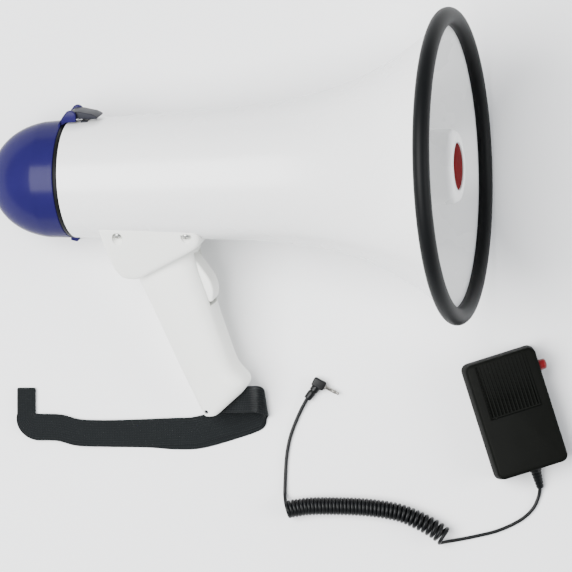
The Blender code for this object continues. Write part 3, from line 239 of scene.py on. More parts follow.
# An even, near-matt black with a fine sparkle.
CASE_BLACK = finish("abs_spark_eroded_black", ("0c0d0b", "080907", 12), 0.50, (0.35, 0.022),
                    ior=EDGE_IOR, coat=0.08)
# Filled nylon looks dry and slightly blue beside the black.
LEVER_GREY = finish("nylon_moulded_dark_grey", "1b1c24", 0.45, (0.6, 0.02), ior=1.22)
# Plain black of the parts that are hidden or handled.
INNER_BLACK = finish("polystyrene_moulded_black", "202122", 0.45, (1.2, 0.02), ior=ABS_IOR)
# A saturated red with a small bright highlight on its rounded end.
BUTTON_RED = finish("abs_gloss_moulded_red", ("6f090f", "5e070c", 4), 0.25, ior=1.42)
# A darker, duller red, uneven because the disc is slightly clear.
BADGE_RED = finish("acrylic_moulded_dark_red", ("670a0e", "4a070a", 6), 0.60, ior=EDGE_IOR, coat=0.10)
print("plastics:", [m.name for m in bpy.data.materials if "moulded" in m.name or "eroded" in m.name])

# %% [markdown]
# Rubber and metals. Moulded rubber is almost black with a soft wide shine. Metals keep the default index of
# refraction, and differ in colour and in the marks of turning, drawing or plating.

# %% Rubber and metals
# The rim's rubber shows its roundness only by a broad dim highlight.
EDGE_RUBBER = finish("nitrile_rubber_moulded_black", ("0d0e0f", "090a0b", 15), 0.50, (0.7, 0.03), ior=1.20)
# The cord's skin is drawn through a die, so it is smoother and each turn of the coil catches a thin line.
CORD_RUBBER = finish("pvc_extruded_black", ("0c0d0e", "08090a", 5), 0.36, (0.8, 0.015), ior=1.28)
# Barrel plating is bright in places and dull in others.
STEEL = finish("steel_zinc_plated", "b9bab6", (0.22, 0.40, 2), metallic=1.0)
# Nickel is warmer and more even.
NICKEL = finish("brass_nickel_plated", "8d8a84", (0.20, 0.30, 2), metallic=1.0)
# The wound wires show as fine ridges.
COPPER = finish("copper_wire_enamelled", "b96a3c", 0.28, (0.4, 0.05), metallic=1.0)
# Sintered ferrite is charcoal grey and dry.
FERRITE = finish("ferrite_sintered", "2b2b2d", 0.65, (0.8, 0.05))
# Solder mask is a waxy green over the weave of the board.
BOARD = finish("glass_epoxy_solder_mask", "1b5a34", 0.35, (1.5, 0.03))
# The diaphragm is a brown, faintly wrinkled film.
FILM = finish("phenolic_film_pressed", "9c7d4a", 0.40, (0.6, 0.03))
# The cells' jackets are dark and varnished.
CELL_JACKET = finish("steel_cell_jacket_printed_plain", ("3d4046", "34373c", 9), 0.30, coat=0.3)
# Matt card, which gives soft shadows and no reflection.
FLOOR = finish("studio_card_matt_white", "fbfbfb", 0.9)
print(len(bpy.data.materials), "materials so far")

# %% [markdown]
# Webbing is woven: fat warp threads run along it, and the weft crosses them in rows, which gives a dull black
# with bumps that catch a regular fine glint. The same heights also paint the colour, lighter on the crowns and
# darker in the hollows: a painted glint and painted shade. The pattern reads the strap's own thread attribute,
# across and along in metres, so it follows the folds. Real threads are about 1 mm, drawn at 1.2 mm.

# %% Woven webbing
THREAD = 1.2 * MM
WEFT_APART = 1.4  # threads
WAVES = math.pi / 10  # a wave texture repeats every 2 pi / 20 of its scaled coordinate

WEBBING = finish("polypropylene_webbing_woven_black", "171b1d", 0.85, ior=1.25, sheen=0.08)
tree = WEBBING.node_tree
shader = tree.nodes["Principled BSDF"]
thread_at = node(tree, "Attribute", {"attribute_name": "thread"})
warp, weft = (
    node(tree, "TexWave", {"wave_type": "BANDS", "bands_direction": direction, "wave_profile": "SIN"},
         Vector=thread_at.outputs["Vector"], Scale=WAVES / (THREAD * apart))
    for direction, apart in (("Y", 1), ("X", WEFT_APART))
)
weave_height_and_shade = node(tree, "Math", {"operation": "MULTIPLY"}, i0=warp.outputs["Fac"], i1=weft.outputs["Fac"])
# The weave's heights also paint the colour: lighter on the threads' crowns and darker in the hollows between them,
# a painted glint and painted shade.
tree.links.new(blend(tree, weave_height_and_shade.outputs[0], "0c0f10", "171b1d"), shader.inputs["Base Color"])
ridges = node(tree, "Bump", Height=weave_height_and_shade.outputs[0], Distance=0.35 * MM)
tree.links.new(ridges.outputs["Normal"], shader.inputs["Normal"])
print("threads", round(THREAD / MM, 2), "mm apart")

# %% [markdown]
# Surfaces. A piece is a grid of points: rows along it, and points round each row. The helper below turns
# such a grid into a closed mesh, merges poles and seams, turns the faces outwards by the sign of the
# volume, and softens the shading except along true edges.

# %% Grids made into pieces
SHARP = math.radians(38)
WELD = 1e-6  # points closer than this are one
ROUND = 2 * math.pi


def closed(name, mesh):
    """An object of a mesh whose doubled points are merged and whose faces all point outwards."""
    bm = bmesh.new()
    bm.from_mesh(mesh)
    bmesh.ops.remove_doubles(bm, verts=bm.verts, dist=WELD)
    bmesh.ops.dissolve_degenerate(bm, edges=bm.edges, dist=WELD / 10)
    if bm.calc_volume(signed=True) < 0:
        bmesh.ops.reverse_faces(bm, faces=bm.faces)
    bm.to_mesh(mesh)
    bm.free()
    made = bpy.data.objects.new(name, mesh)
    bpy.context.scene.collection.objects.link(made)
    return made


def solid(name, grid, ring=False, thread=None):
    """Skins an (n, m, 3) grid whose rows are closed loops. ring joins the last row to the first, otherwise
    both end rows are capped. thread is an (n, m, 3) array kept as the attribute of that name."""
    n, m = grid.shape[:2]
    index = np.arange(n * m).reshape(n, m)
    loops = np.vstack([index, index[:1]]) if ring else index
    loops = np.hstack([loops, loops[:, :1]])
    corners = [loops[:-1, :-1], loops[:-1, 1:], loops[1:, 1:], loops[1:, :-1]]
    faces = np.stack(corners, -1).reshape(-1, 4).tolist()
    if not ring:
        faces += [index[0, ::-1].tolist(), index[-1].tolist()]
    mesh = bpy.data.meshes.new(name)
    mesh.from_pydata(grid.reshape(-1, 3).tolist(), [], faces)
    if thread is not None:
        kept = mesh.attributes.new("thread", "FLOAT_VECTOR", "POINT")
        kept.data.foreach_set("vector", thread.astype(np.float32).ravel())
    return closed(name, mesh)


def show(made, material, body, slot, *replaces, sharp=SHARP):
    """Shades a solid, gives it its finish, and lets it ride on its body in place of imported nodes."""
    made.data.shade_smooth()
    made.data.set_sharp_from_angle(angle=sharp)
    made.data.materials.clear()
    made.data.materials.append(material)
    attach(made, body)
    if replaces:
        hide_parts(*replaces)
    return made


def settle(made):
    """Keeps what an object's modifiers make of it, and takes them off."""
    mesh = bpy.data.meshes.new_from_object(made.evaluated_get(bpy.context.evaluated_depsgraph_get()))
    made.modifiers.clear()
    made.data = mesh
    return made


def carve(made, *others, way="DIFFERENCE"):
    """Cuts other solids out of one, or adds them, or keeps what they share. The others are used up."""
    for other in others:
        cut = made.modifiers.new(other.name, "BOOLEAN")
        cut.object, cut.operation, cut.solver = other, way, "EXACT"
    settle(made)
    for other in others:
        bpy.data.objects.remove(other)
    return made


def moved(made, rule):
    """Moves all of a solid's points at once by a rule on their (n, 3) array."""
    flat = np.empty(3 * len(made.data.vertices))
    made.data.vertices.foreach_get("co", flat)
    made.data.vertices.foreach_set("co", np.asarray(rule(flat.reshape(-1, 3))).ravel())
    made.data.update()
    return made


def turned(name, profile, at, steps=144, ring=False, flutes=None):
    """A profile of (x, r) turned about x: each point's circle is (x, r sin a, r cos a). flutes gives what is
    added to r, as a function of x, r and the angle."""
    profile = np.asarray(profile, float)
    angle = np.linspace(0, ROUND, steps, endpoint=False)[None]
    x, r = profile[:, :1] + 0 * angle, profile[:, 1:] + 0 * angle
    if flutes:
        r = r + flutes(x, r, angle)
    return solid(name, placed(np.stack([x, r * np.sin(angle), r * np.cos(angle)], -1), at), ring)


def rod(name, start, end, radius, at, steps=32):
    """A plain round bar between two points of a piece's own axes, to cut with."""
    start, end = np.asarray(start, float), np.asarray(end, float)
    long = np.linalg.norm(end - start)
    line = [(0, 0), (0, radius), (long, radius), (long, 0)]
    return turned(name, line, along(end - start, start, at), steps)


def along(way, start, at):
    """A placing whose x runs along a direction, both it and the start given in another placing's axes."""
    way = at[:, :3] @ np.asarray(way, float)
    side = at[:, np.argmin(np.abs(way @ at[:, :3]))]
    return axes_at(way, side, placed(start, at))


def rounded(points, radius, count=5):
    """Corners of an open (x, r) profile replaced by short arcs: each is the quadratic curve from a point
    before the corner to one after it, at most this far from it."""
    points = np.asarray(points, float)
    made = [points[:1]]
    t = np.linspace(0, 1, count)[:, None]
    for before, here, after in zip(points, points[1:], points[2:]):
        back, on = before - here, after - here
        start = here + back * min(0.45, radius / np.linalg.norm(back))
        end = here + on * min(0.45, radius / np.linalg.norm(on))
        made.append((1 - t) ** 2 * start + 2 * t * (1 - t) * here + t**2 * end)
    return np.vstack([*made, points[-1:]])


def through(stations, count):
    """A smooth line through stations: Catmull-Rom, each part a cubic whose slope at a station is half the way
    between its neighbours."""
    stations = np.asarray(stations, float)
    knots = np.vstack([2 * stations[0] - stations[1], stations, 2 * stations[-1] - stations[-2]])
    t = np.linspace(0, len(stations) - 1, count)
    i = np.minimum(t.astype(int), len(stations) - 2)
    t = (t - i)[:, None]
    a, b, c, d = knots[i], knots[i + 1], knots[i + 2], knots[i + 3]
    return (2 * b + (c - a) * t + (2 * a - 5 * b + 4 * c - d) * t**2 + (3 * b - a - 3 * c + d) * t**3) / 2


def along_units(line):
    """The unit way along a line at each of its points, from its neighbours."""
    way = np.gradient(line, axis=0)
    return way / np.linalg.norm(way, axis=1)[:, None]


print("surfaces turn sharp past", round(math.degrees(SHARP)), "degrees")

# %% [markdown]
# The cords come first, because the whole set has to keep clear of them. The microphone's curly cord is one
# cord: it leaves the boot, lies on the floor in a bow, climbs into a coil of about forty turns, and ends as
# a straight lead in the jack plug. The coil is a helix whose axis is the smooth line through the route's
# stations, and the turns stand further apart towards the microphone, where the coil has been stretched.

# %% The curly cord
CORD = 2.6 * MM
COIL_MIDDLE = (5.2 * MM, 5.9 * MM)  # radius of the helix that the cord's middle follows, at its two ends
COIL_TURNS = 40.53  # so that the lead leaves over the top, and the other end lies low on the near side
PER_TURN = 26  # points
COIL_START = math.radians(140)
STRETCH = 0.12  # how much of the way the turns' spacing bends by, towards the microphone
EASE_REACH, EASE_ROUNDS = 0.0045, 30  # the joints of coil and ends are smoothed this far, so many times
TAIL_ROUTE = (
    (0.1797, -0.1436, 0.0030), (0.1790, -0.1485, 0.0018), (0.1758, -0.1563, 0.0013),
    (0.1694, -0.1633, 0.0013), (0.1602, -0.1690, 0.0013), (0.1482, -0.1739, 0.0013),
    (0.1355, -0.1770, 0.0013), (0.1260, -0.1790, 0.0013), (0.1170, -0.1806, 0.0013),
)
COIL_ROUTE = (
    (0.0011, -0.1584, 0.0066), (0.0060, -0.1574, 0.0066), (0.0178, -0.1559, 0.0066),
    (0.0380, -0.1558, 0.0066), (0.0590, -0.1568, 0.0066), (0.0800, -0.1602, 0.0067),
    (0.0950, -0.1662, 0.0069), (0.1060, -0.1722, 0.0071), (0.1128, -0.1776, 0.0073),
)
LEAD_ROUTE = (
    (-0.0008, -0.1525, 0.0030), (-0.0006, -0.1400, 0.00150), (0.0003, -0.1230, 0.00135),
    (0.0020, -0.1118, 0.00135), (0.0048, -0.1019, 0.00135), (0.0098, -0.0899, 0.0018),
    (0.0132, -0.0832, 0.0028), (0.0150, -0.0800, 0.0035),
)


def helix_about(axis_route):
    """Points going round a smooth line: middle + radius (cos a side + sin a up), where side is level and
    square to the line. The turns crowd towards the line's start by a power of the way along."""
    count = round(COIL_TURNS * PER_TURN) + 1
    fine = through(axis_route, 2000)
    steps = np.linalg.norm(np.diff(fine, axis=0), axis=1)
    length = np.concatenate([[0], np.cumsum(steps)])
    share = np.linspace(0, 1, count)
    share = share * (1 - STRETCH) + STRETCH * share**5
    share = share / share[-1]
    middle = np.stack([np.interp(share * length[-1], length, fine[:, k]) for k in range(3)], -1)
    ahead = along_units(middle)
    side = np.cross(ahead, (0.0, 0.0, 1.0))
    side = side / np.linalg.norm(side, axis=1)[:, None]
    up = np.cross(side, ahead)
    angle = COIL_START - ROUND * COIL_TURNS * np.linspace(0, 1, count)[:, None]
    radius = COIL_MIDDLE[0] + (COIL_MIDDLE[1] - COIL_MIDDLE[0]) * share[:, None] ** 4
    return middle + radius * (np.cos(angle) * side + np.sin(angle) * up)


RELIEF_X, RELIEF_LONG, RELIEF_RINGS, MIC_HALF_LONG = 0.0028, 0.0150, 0.0024, 0.04125
relief_start = placed([RELIEF_X, -MIC_HALF_LONG - 0.0015, 0.0078], MICROPHONE)
relief_end = placed([RELIEF_X - 0.0006, -MIC_HALF_LONG - 0.0003 - RELIEF_LONG, 0.0036], MICROPHONE)
coil = helix_about(COIL_ROUTE)[::-1]
tail = through([relief_end - SET_CENTRE, *TAIL_ROUTE], 100)
lead = through(LEAD_ROUTE, 90)
cord_path = np.vstack([tail, coil, lead]) + SET_CENTRE
joints_at = cord_path[[len(tail), len(tail) + len(coil)]]
for _ in range(EASE_ROUNDS):  # the joints between the three parts ease into the same smooth line
    near = np.min(np.linalg.norm(cord_path[1:-1, None] - joints_at, axis=2), axis=1) < EASE_REACH
    between = (cord_path[:-2] + cord_path[2:]) / 2
    cord_path[1:-1][near] = cord_path[1:-1][near] * 0.5 + between[near] * 0.5
curve = bpy.data.curves.new("curly_cord", "CURVE")
curve.dimensions, curve.bevel_depth, curve.bevel_resolution, curve.use_fill_caps = "3D", CORD / 2, 3, True
spline = curve.splines.new("POLY")
spline.points.add(len(cord_path) - 1)
spline.points.foreach_set("co", np.hstack([cord_path, np.ones((len(cord_path), 1))]).ravel())
spline.use_smooth = True
curve.materials.append(CORD_RUBBER)
curly_cord = bpy.data.objects.new("curly_cord", curve)
bpy.context.scene.collection.objects.link(curly_cord)
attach(curly_cord, "microphone")
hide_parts("cord_tail", "cord_coil", "cord_lead")

# %% [markdown]
# The jack plug at the cord's far end is a moulded elbow: a rounded slab with a short boot for the cord. A
# slab is an outline carried across its thickness: near both faces the outline is drawn in along its own
# normals, by a quarter circle, which rounds the edge.

# %% Rounded slabs
EDGE_STEPS = 5


def outline_normals(outline):
    """Outward normals of a closed, anticlockwise outline, from the way between each point's neighbours."""
    way = np.roll(outline, -1, 0) - np.roll(outline, 1, 0)
    way = way / np.linalg.norm(way, axis=1)[:, None]
    return np.stack([way[:, 1], -way[:, 0]], -1)


def slab(name, outline, low, high, edge, at, plane="xz", low_edge=None):
    """A closed outline carried from low to high. Its edges follow quarter circles: drawn in by edge (1 - sin
    a) and standing edge (1 - cos a) short of the face. plane says which axes the outline is drawn on."""
    outline = np.asarray(outline, float)
    if np.allclose(outline[0], outline[-1]):
        outline = outline[:-1]
    area = np.sum(outline[:, 0] * np.roll(outline[:, 1], -1) - outline[:, 1] * np.roll(outline[:, 0], -1))
    if area < 0:
        outline = outline[::-1]
    normals = outline_normals(outline)
    low_edge = edge if low_edge is None else low_edge
    turn = np.linspace(0, math.pi / 2, EDGE_STEPS)
    inset = np.concatenate([low_edge * (1 - np.sin(turn)), edge * (1 - np.sin(turn))[::-1]])
    depth = np.concatenate([low + low_edge * (1 - np.cos(turn)), high - edge * (1 - np.cos(turn))[::-1]])
    flat = outline[None] - normals[None] * inset[:, None, None]
    third = np.broadcast_to(depth[:, None], flat.shape[:2])
    order = {"xz": (flat[..., 0], third, flat[..., 1]), "xy": (flat[..., 0], flat[..., 1], third)}[plane]
    return solid(name, placed(np.stack(order, -1), at))


def box_outline(half_x, half_y, corner, count=8, centre=(0, 0)):
    """A rectangle with round corners: four quarter circles, joined by straight sides."""
    parts = []
    for sx, sy, start in ((1, 1, 0), (-1, 1, 90), (-1, -1, 180), (1, -1, 270)):
        a = np.radians(np.linspace(start, start + 90, count))
        middle = np.array([sx * (half_x - corner), sy * (half_y - corner)])
        parts.append(middle + corner * np.stack([np.cos(a), np.sin(a)], -1))
    return np.vstack(parts) + centre


print("slab edges turn in", EDGE_STEPS, "steps")

# %% [markdown]
# The elbow is such a slab. The boots and the pin are profiles turned about their own axes: the boot on the
# microphone's side is a cone ringed with grooves, so that it bends evenly.

# %% The jack plug and the cord's boot
PLUG_TURN = math.radians(-27.5)
PLUG_HEAD = np.array([0.0235, -0.0693, 0.0035]) + SET_CENTRE
plug_way = np.array([math.cos(PLUG_TURN), math.sin(PLUG_TURN), 0.0])
plug_at = axes_at(plug_way, (-plug_way[1], plug_way[0], 0.0), PLUG_HEAD)
plug_head = slab("plug_head", box_outline(0.0048, 0.0034, 0.0014), -0.0035, 0.0035, 0.0011, plug_at, "xy")
show(plug_head, CORD_RUBBER, "microphone", "rubber", "plug_body")
boot_start = cord_path[-1]
boot_way = PLUG_HEAD - boot_start
boot_at = axes_at(boot_way, np.cross((0, 0, 1), boot_way), boot_start)
boot_long = np.linalg.norm(boot_way)
boot_profile = [(0.0, 0.0), (0.0, 0.0024), (0.0014, 0.0027), (0.0052, 0.0029), (0.0060, 0.0029),
                (0.0062, 0.0024), (0.0068, 0.0024), (0.0070, 0.0031), (boot_long, 0.0033), (boot_long, 0.0)]
plug_boot = turned("plug_boot", rounded(boot_profile, 0.0003), boot_at, 40)
show(plug_boot, CORD_RUBBER, "microphone", "rubber")
pin_at = axes_at(plug_way, (0, 0, 1), PLUG_HEAD + plug_way * 0.0049)
PIN_R = 1.25 * MM
pin_profile = [(0, 0), (0, 0.0021), (0.0006, 0.0021), (0.0006, PIN_R), (0.0052, PIN_R),
               (0.0053, PIN_R * 0.92), (0.0058, PIN_R * 0.92), (0.0059, PIN_R), (0.0085, PIN_R),
               (0.0093, PIN_R * 0.55), (0.0099, PIN_R * 0.85), (0.0107, PIN_R * 0.8), (0.0113, 0.0)]
plug_tip = turned("plug_tip", rounded(pin_profile, 0.00012, 3), pin_at, 32)
show(plug_tip, NICKEL, "microphone", "chrome", "plug_pin")

relief_at = axes_at(relief_end - relief_start, (0, 0, 1), relief_start)
relief_way = np.linspace(0.0022, RELIEF_LONG - 0.0012, 60)
grooved = np.sin(relief_way / RELIEF_RINGS * ROUND) > 0.3
relief_r = 0.0040 - 0.0014 * relief_way / RELIEF_LONG - 0.00045 * grooved
relief_profile = [(-0.0010, 0.0), (-0.0010, 0.0042), (0.0018, 0.0042), *zip(relief_way, relief_r),
                  (RELIEF_LONG, 0.0025), (RELIEF_LONG, 0.0)]
relief = turned("cord_relief", relief_profile, relief_at, 40)
show(relief, CORD_RUBBER, "microphone", "rubber", "mic_strain_relief")
print("plug", round(boot_long * 1000, 1), "mm of boot")

# %% [markdown]
# The horn is a wall turned about the horn's axis. Its outer line is a slight cone, and from 80 mm on the
# bell's flare is added, a power of the way to the lip. The inner line is the outer one moved in along its
# normal by the wall's thickness, and both lines close in a rounded lip.

# %% Horn body
REAR_R, TAPER, LONG = 0.0412, 0.038, 0.2690
FLARE_START, FLARE_POWER, LIP_R, WALL = 0.080, 3.3, 0.1018, 0.0025


def horn_radius(x):
    """REAR_R + TAPER x, plus the flare: what is missing at the lip, times the way along it to a power."""
    way = np.clip((x - FLARE_START) / (LONG - FLARE_START), 0, None)
    return REAR_R + TAPER * x + (LIP_R - REAR_R - TAPER * LONG) * way**FLARE_POWER


horn_x = np.concatenate([np.linspace(0, FLARE_START, 24), np.linspace(FLARE_START, LONG, 90)[1:]])
horn_out = np.stack([horn_x, horn_radius(horn_x)], -1)
horn_way = along_units(horn_out)
horn_in = horn_out + WALL * np.stack([horn_way[:, 1], -horn_way[:, 0]], -1)
horn_in[0, 0] = 0.0
horn = turned("horn_shell", np.vstack([horn_out, horn_in[::-1]]), MEGAPHONE, 224, ring=True)
show(horn, HORN_WHITE, "megaphone", "white_plastic", "horn_body")
print("horn", len(horn.data.polygons), "faces")

# %% [markdown]
# The bell's edge wears a fat rubber ring, an oval section about the lip. Its face is drawn as one closed
# oval turned about the axis. The thin rubber gasket at the other end shows as a dark line.

# %% Rubber edge and gasket
TRIM_RADIAL, TRIM_AXIAL, TRIM_OVERLAP = 0.0127, 0.0112, 0.0050
LIP_LINE = 0.004  # the lip points the way of this much of the outer line
GASKET = 0.0030

lip_way = np.array([LIP_LINE, LIP_R - horn_radius(LONG - LIP_LINE)])
lip_way = lip_way / np.linalg.norm(lip_way)
lip = np.array([LONG, LIP_R]) + np.array([lip_way[1], -lip_way[0]]) * WALL / 2
trim_middle = lip - lip_way * (TRIM_OVERLAP - TRIM_AXIAL / 2) + (0, 0.0004)
oval = np.linspace(0, ROUND, 40, endpoint=False)
trim = trim_middle + np.stack([TRIM_AXIAL / 2 * np.cos(oval), TRIM_RADIAL / 2 * np.sin(oval)], -1)
rubber_edge = turned("rubber_edge", trim, MEGAPHONE, 224, ring=True)
show(rubber_edge, EDGE_RUBBER, "megaphone", "rubber", "rim_trim")
gasket = [(-0.0003, REAR_R - WALL), (-0.0003, REAR_R - 0.0003), (-0.0008, REAR_R - 0.0001),
          (-GASKET + 0.0005, REAR_R - 0.0001), (-GASKET, REAR_R - 0.0003), (-GASKET, REAR_R - WALL)]
gasket_ring = turned("gasket_ring", gasket, MEGAPHONE, 160, ring=True)
show(gasket_ring, EDGE_RUBBER, "megaphone", "rubber", "rear_gasket")
print("rim", round(2000 * (lip[1] + 0.0004 + TRIM_RADIAL / 2), 1), "mm across")

# %% [markdown]
# The blue cover holds the batteries in. A straight band runs back from the gasket, and then a dome closes
# it: a quarter of a superellipse. The slight crease where they meet is on the real one, and it ends the
# highlight of the band in a clean line.

# %% Rear cover
COVER_LONG, COVER_WALL, BAND, DOME_START, DOME_POWER = 0.0593, 0.0022, 0.0195, 0.0080, 2.2


def dome_radius(back):
    """REAR_R (1 - s^p)^(1/p), with s the way back from DOME_START to the cover's end."""
    s = np.clip((back - DOME_START) / (COVER_LONG - DOME_START), 0, 1)
    return REAR_R * (1 - s**DOME_POWER) ** (1 / DOME_POWER)


def cover_radius(back):
    """The dome, and before it the band: a straight line from the joint to the dome's radius there."""
    band = REAR_R + (dome_radius(BAND) - REAR_R) * (back - GASKET) / (BAND - GASKET)
    return np.where(back > BAND, dome_radius(back), band)


back = np.concatenate([
    np.linspace(GASKET + 0.0009, BAND, 12),
    BAND + (COVER_LONG - BAND) * np.sin(np.linspace(0, math.pi / 2, 44))[1:],
])
cover_out = np.stack([-back, cover_radius(back)], -1)
cover_out[-1, 1] = 0.0
MOUTH = -GASKET - 0.0003  # a hair behind the gasket
mouth_edge = [(MOUTH, REAR_R - COVER_WALL), (MOUTH, REAR_R - 0.0006), (MOUTH - 0.0002, REAR_R - 0.0002)]
inside = cover_out[cover_out[:, 1] > 2.2 * COVER_WALL] - (0, COVER_WALL)
inside = inside[inside[:, 0] > -(COVER_LONG - COVER_WALL)]
cover_profile = np.vstack([mouth_edge, cover_out, [(-(COVER_LONG - COVER_WALL), 0.0)], inside[::-1]])
cover_shell = turned("cover_shell", cover_profile, MEGAPHONE, 192, ring=True)
show(cover_shell, COVER_BLUE, "rear_cover", "blue_plastic", "rear_cover", sharp=math.radians(8))
print("cover", round(COVER_LONG * 1000, 1), "mm long,", len(cover_shell.data.polygons), "faces")

# %% [markdown]
# The latch stands on the cover's top. Two blue lugs, joined behind, carry its pin, and between them a dark
# grey lever reaches forwards as a thin wedge. All are outlines carried across. The hinge on the grip's side
# is three short knuckles round one pin.

# %% Latch and hinge
LATCH_X, LATCH_Z, LATCH_HALF, LUG = 0.0048, 0.0462, 0.0070, 0.0026


def round_part(centre, radius, start, end, count=14):
    """Points of a circle between two angles in degrees."""
    a = np.radians(np.linspace(start, end, count))
    return [(centre[0] + radius * math.cos(t), centre[1] + radius * math.sin(t)) for t in a]


lug_outline = [
    (LATCH_X + 0.0034, LATCH_Z - 0.0036), *round_part((LATCH_X - 0.0004, LATCH_Z + 0.0004), 0.0042, -25, 125),
    (LATCH_X - 0.0052, LATCH_Z + 0.0012), (LATCH_X - 0.0082, LATCH_Z - 0.0026),
    (LATCH_X - 0.0100, LATCH_Z - 0.0052), (LATCH_X - 0.0100, LATCH_Z - 0.0086),
    (MOUTH, REAR_R - 0.0010), (MOUTH, LATCH_Z - 0.0038),
]
lug_in = LATCH_HALF + 0.0005
for side in (-1, 1):
    low, high = sorted((side * lug_in, side * (lug_in + LUG)))
    lug = slab(f"latch_lug_{'near' if side < 0 else 'far'}", lug_outline, low, high, 0.0006, MEGAPHONE)
    show(lug, COVER_BLUE, "rear_cover", "blue_plastic")
bridge = [(LATCH_X - 0.0041, LATCH_Z - 0.0040), (LATCH_X - 0.0041, LATCH_Z + 0.0014),
          (LATCH_X - 0.0062, LATCH_Z - 0.0012), (LATCH_X - 0.0098, LATCH_Z - 0.0058),
          (LATCH_X - 0.0108, LATCH_Z - 0.0078), (MOUTH, REAR_R - 0.0010)]
bridge_half = lug_in + 0.0008
show(slab("latch_bridge", bridge, -bridge_half, bridge_half, 0.0003, MEGAPHONE), COVER_BLUE,
     "rear_cover", "blue_plastic")

foot = REAR_R + TAPER * 0.02 + 0.0016
lever_line = [
    (LATCH_X + 0.0030, foot + 0.0006), (0.0108, foot + 0.0004), (0.0162, foot + 0.0004), (0.0170, foot),
    (0.0222, foot), (0.0231, foot + 0.0005), (0.0232, foot + 0.0011), (0.0224, foot + 0.0018),
    (0.0190, foot + 0.0036), (0.0150, LATCH_Z + 0.0018), (0.0100, LATCH_Z + 0.0031),
    *round_part((LATCH_X, LATCH_Z), 0.0031, 84, 250),
]
show(slab("latch_wedge", lever_line, -LATCH_HALF, LATCH_HALF, 0.0005, MEGAPHONE), LEVER_GREY, "latch",
     "black_plastic", "latch_lever")
KNUCKLE_R = 0.0018
for name, low, high, body, wall_x, material, slot in (
    ("hinge_knuckle_horn", -0.0048, 0.0048, "megaphone", 0.0050, HORN_WHITE, "white_plastic"),
    ("hinge_knuckle_near", -0.0090, -0.0053, "rear_cover", -0.0055, COVER_BLUE, "blue_plastic"),
    ("hinge_knuckle_far", 0.0053, 0.0090, "rear_cover", -0.0055, COVER_BLUE, "blue_plastic"),
):
    way = math.copysign(1, wall_x)
    arms = round_part((0, 0), KNUCKLE_R, 90, 270, 16)
    outline = [(HINGE_X + way * x, HINGE_Z + z) for x, z in arms]
    outline += [(wall_x, HINGE_Z - KNUCKLE_R * 0.35), (wall_x, HINGE_Z + KNUCKLE_R * 0.9)]
    show(slab(name, outline, low, high, 0.0004, MEGAPHONE), material, body, slot)
print("latch's pin is", round((LATCH_Z - REAR_R) * 1000, 1), "mm above the cover's edge")

# %% [markdown]
# Inside the mouth, a second, smaller horn bends the sound back: what shows is its round-edged cup, with a
# dark red badge set in a shallow recess in its end.

# %% Centre horn and badge
CUP_R, CUP_BACK, CUP_FRONT, CUP_WALL, CUP_EDGE = 0.0255, 0.1780, 0.2735, 0.0020, 0.0045
BADGE_R, RECESS = 0.0160, 0.0016
floor_x, bowl = CUP_FRONT - 0.0070, CUP_FRONT - RECESS
cup = [(bowl, 0.0), (bowl, BADGE_R + 0.0003), (CUP_FRONT - 0.0002, BADGE_R + 0.0005),
       (CUP_FRONT, BADGE_R + 0.0008), *round_part((CUP_FRONT - CUP_EDGE, CUP_R - CUP_EDGE), CUP_EDGE, 0, 90),
       (CUP_BACK, CUP_R), (CUP_BACK, CUP_R - CUP_WALL), (floor_x - 0.003, CUP_R - CUP_WALL),
       (floor_x, CUP_R - CUP_WALL - 0.003), (floor_x, 0.0)]
show(turned("centre_cup", cup, MEGAPHONE, 128), HORN_WHITE, "megaphone", "white_plastic", "reflector_cup")
face = bowl + 0.0003
badge_r = np.linspace(0, BADGE_R * 0.97, 24)
badge_step = 0.00035 * (badge_r < BADGE_R * 0.72)  # its middle stands a little prouder
badge = np.stack([face + 0.0010 - 0.0005 * (badge_r / BADGE_R) ** 4 + badge_step, badge_r], -1)
badge = np.vstack([badge, [(face + 0.0002, BADGE_R), (face, BADGE_R), (face, 0.0)]])
show(turned("badge_disc", badge, MEGAPHONE, 96), BADGE_RED, "megaphone", "red_plastic", "front_badge")
print("cup", round(CUP_R * 2000), "mm across, badge", round(BADGE_R * 2000), "mm")

# %% [markdown]
# The handle is a pistol grip under a saddle that straddles the horn. The grip is a stack of superellipse
# sections, and the saddle an outline carried across, wider towards the horn. The two are melted together
# on a fine voxel grid and eased, which gives the moulded fillet between them. Then the screw pockets and
# the slots are cut, and the solid is split down the middle, as the real one is moulded.

# %% Handle
HERE = axes_at((1, 0, 0), (0, 1, 0), (0, 0, 0))  # drawn in the megaphone's axes, placed when it is done
GRIP_STATIONS = (  # height, front, half width
    (-0.0440, 0.0846, 0.0150), (-0.0540, 0.0841, 0.0152), (-0.0650, 0.0852, 0.0154),
    (-0.0760, 0.0876, 0.0155), (-0.0860, 0.0902, 0.0155), (-0.0930, 0.0920, 0.0155),
    (-0.1150, 0.0970, 0.0155), (-0.1345, 0.1019, 0.0155), (-0.1400, 0.1045, 0.0154),
    (-0.1490, 0.1110, 0.0152), (-0.1560, 0.1074, 0.0150), (-0.1640, 0.0980, 0.0147),
    (-0.1722, 0.0880, 0.0142),
)
GRIP_REAR, GRIP_RAKE, GRIP_POWER = 0.0164, 0.322, 3.2
GRIP_BOW = (  # height, how far the rear edge stands out from its straight line
    (-0.175, 0.0064), (-0.160, 0.0043), (-0.148, 0.0033), (-0.125, 0.0026), (-0.095, 0.0017), (-0.060, 0.0),
)
SADDLE_TOP, SADDLE_HALF, SADDLE_TAPER = -0.0270, 0.0310, 0.25
SADDLE_LINE = (
    (0.0220, -0.0270), (0.0225, -0.0385), (0.0270, -0.0590), (0.0305, -0.0660), (0.0355, -0.0690),
    (0.0450, -0.0690), (0.0905, -0.0465), (0.0945, -0.0400), (0.0905, -0.0270),
)
VOXEL = 0.0008
SPLIT_GAP = 0.0003


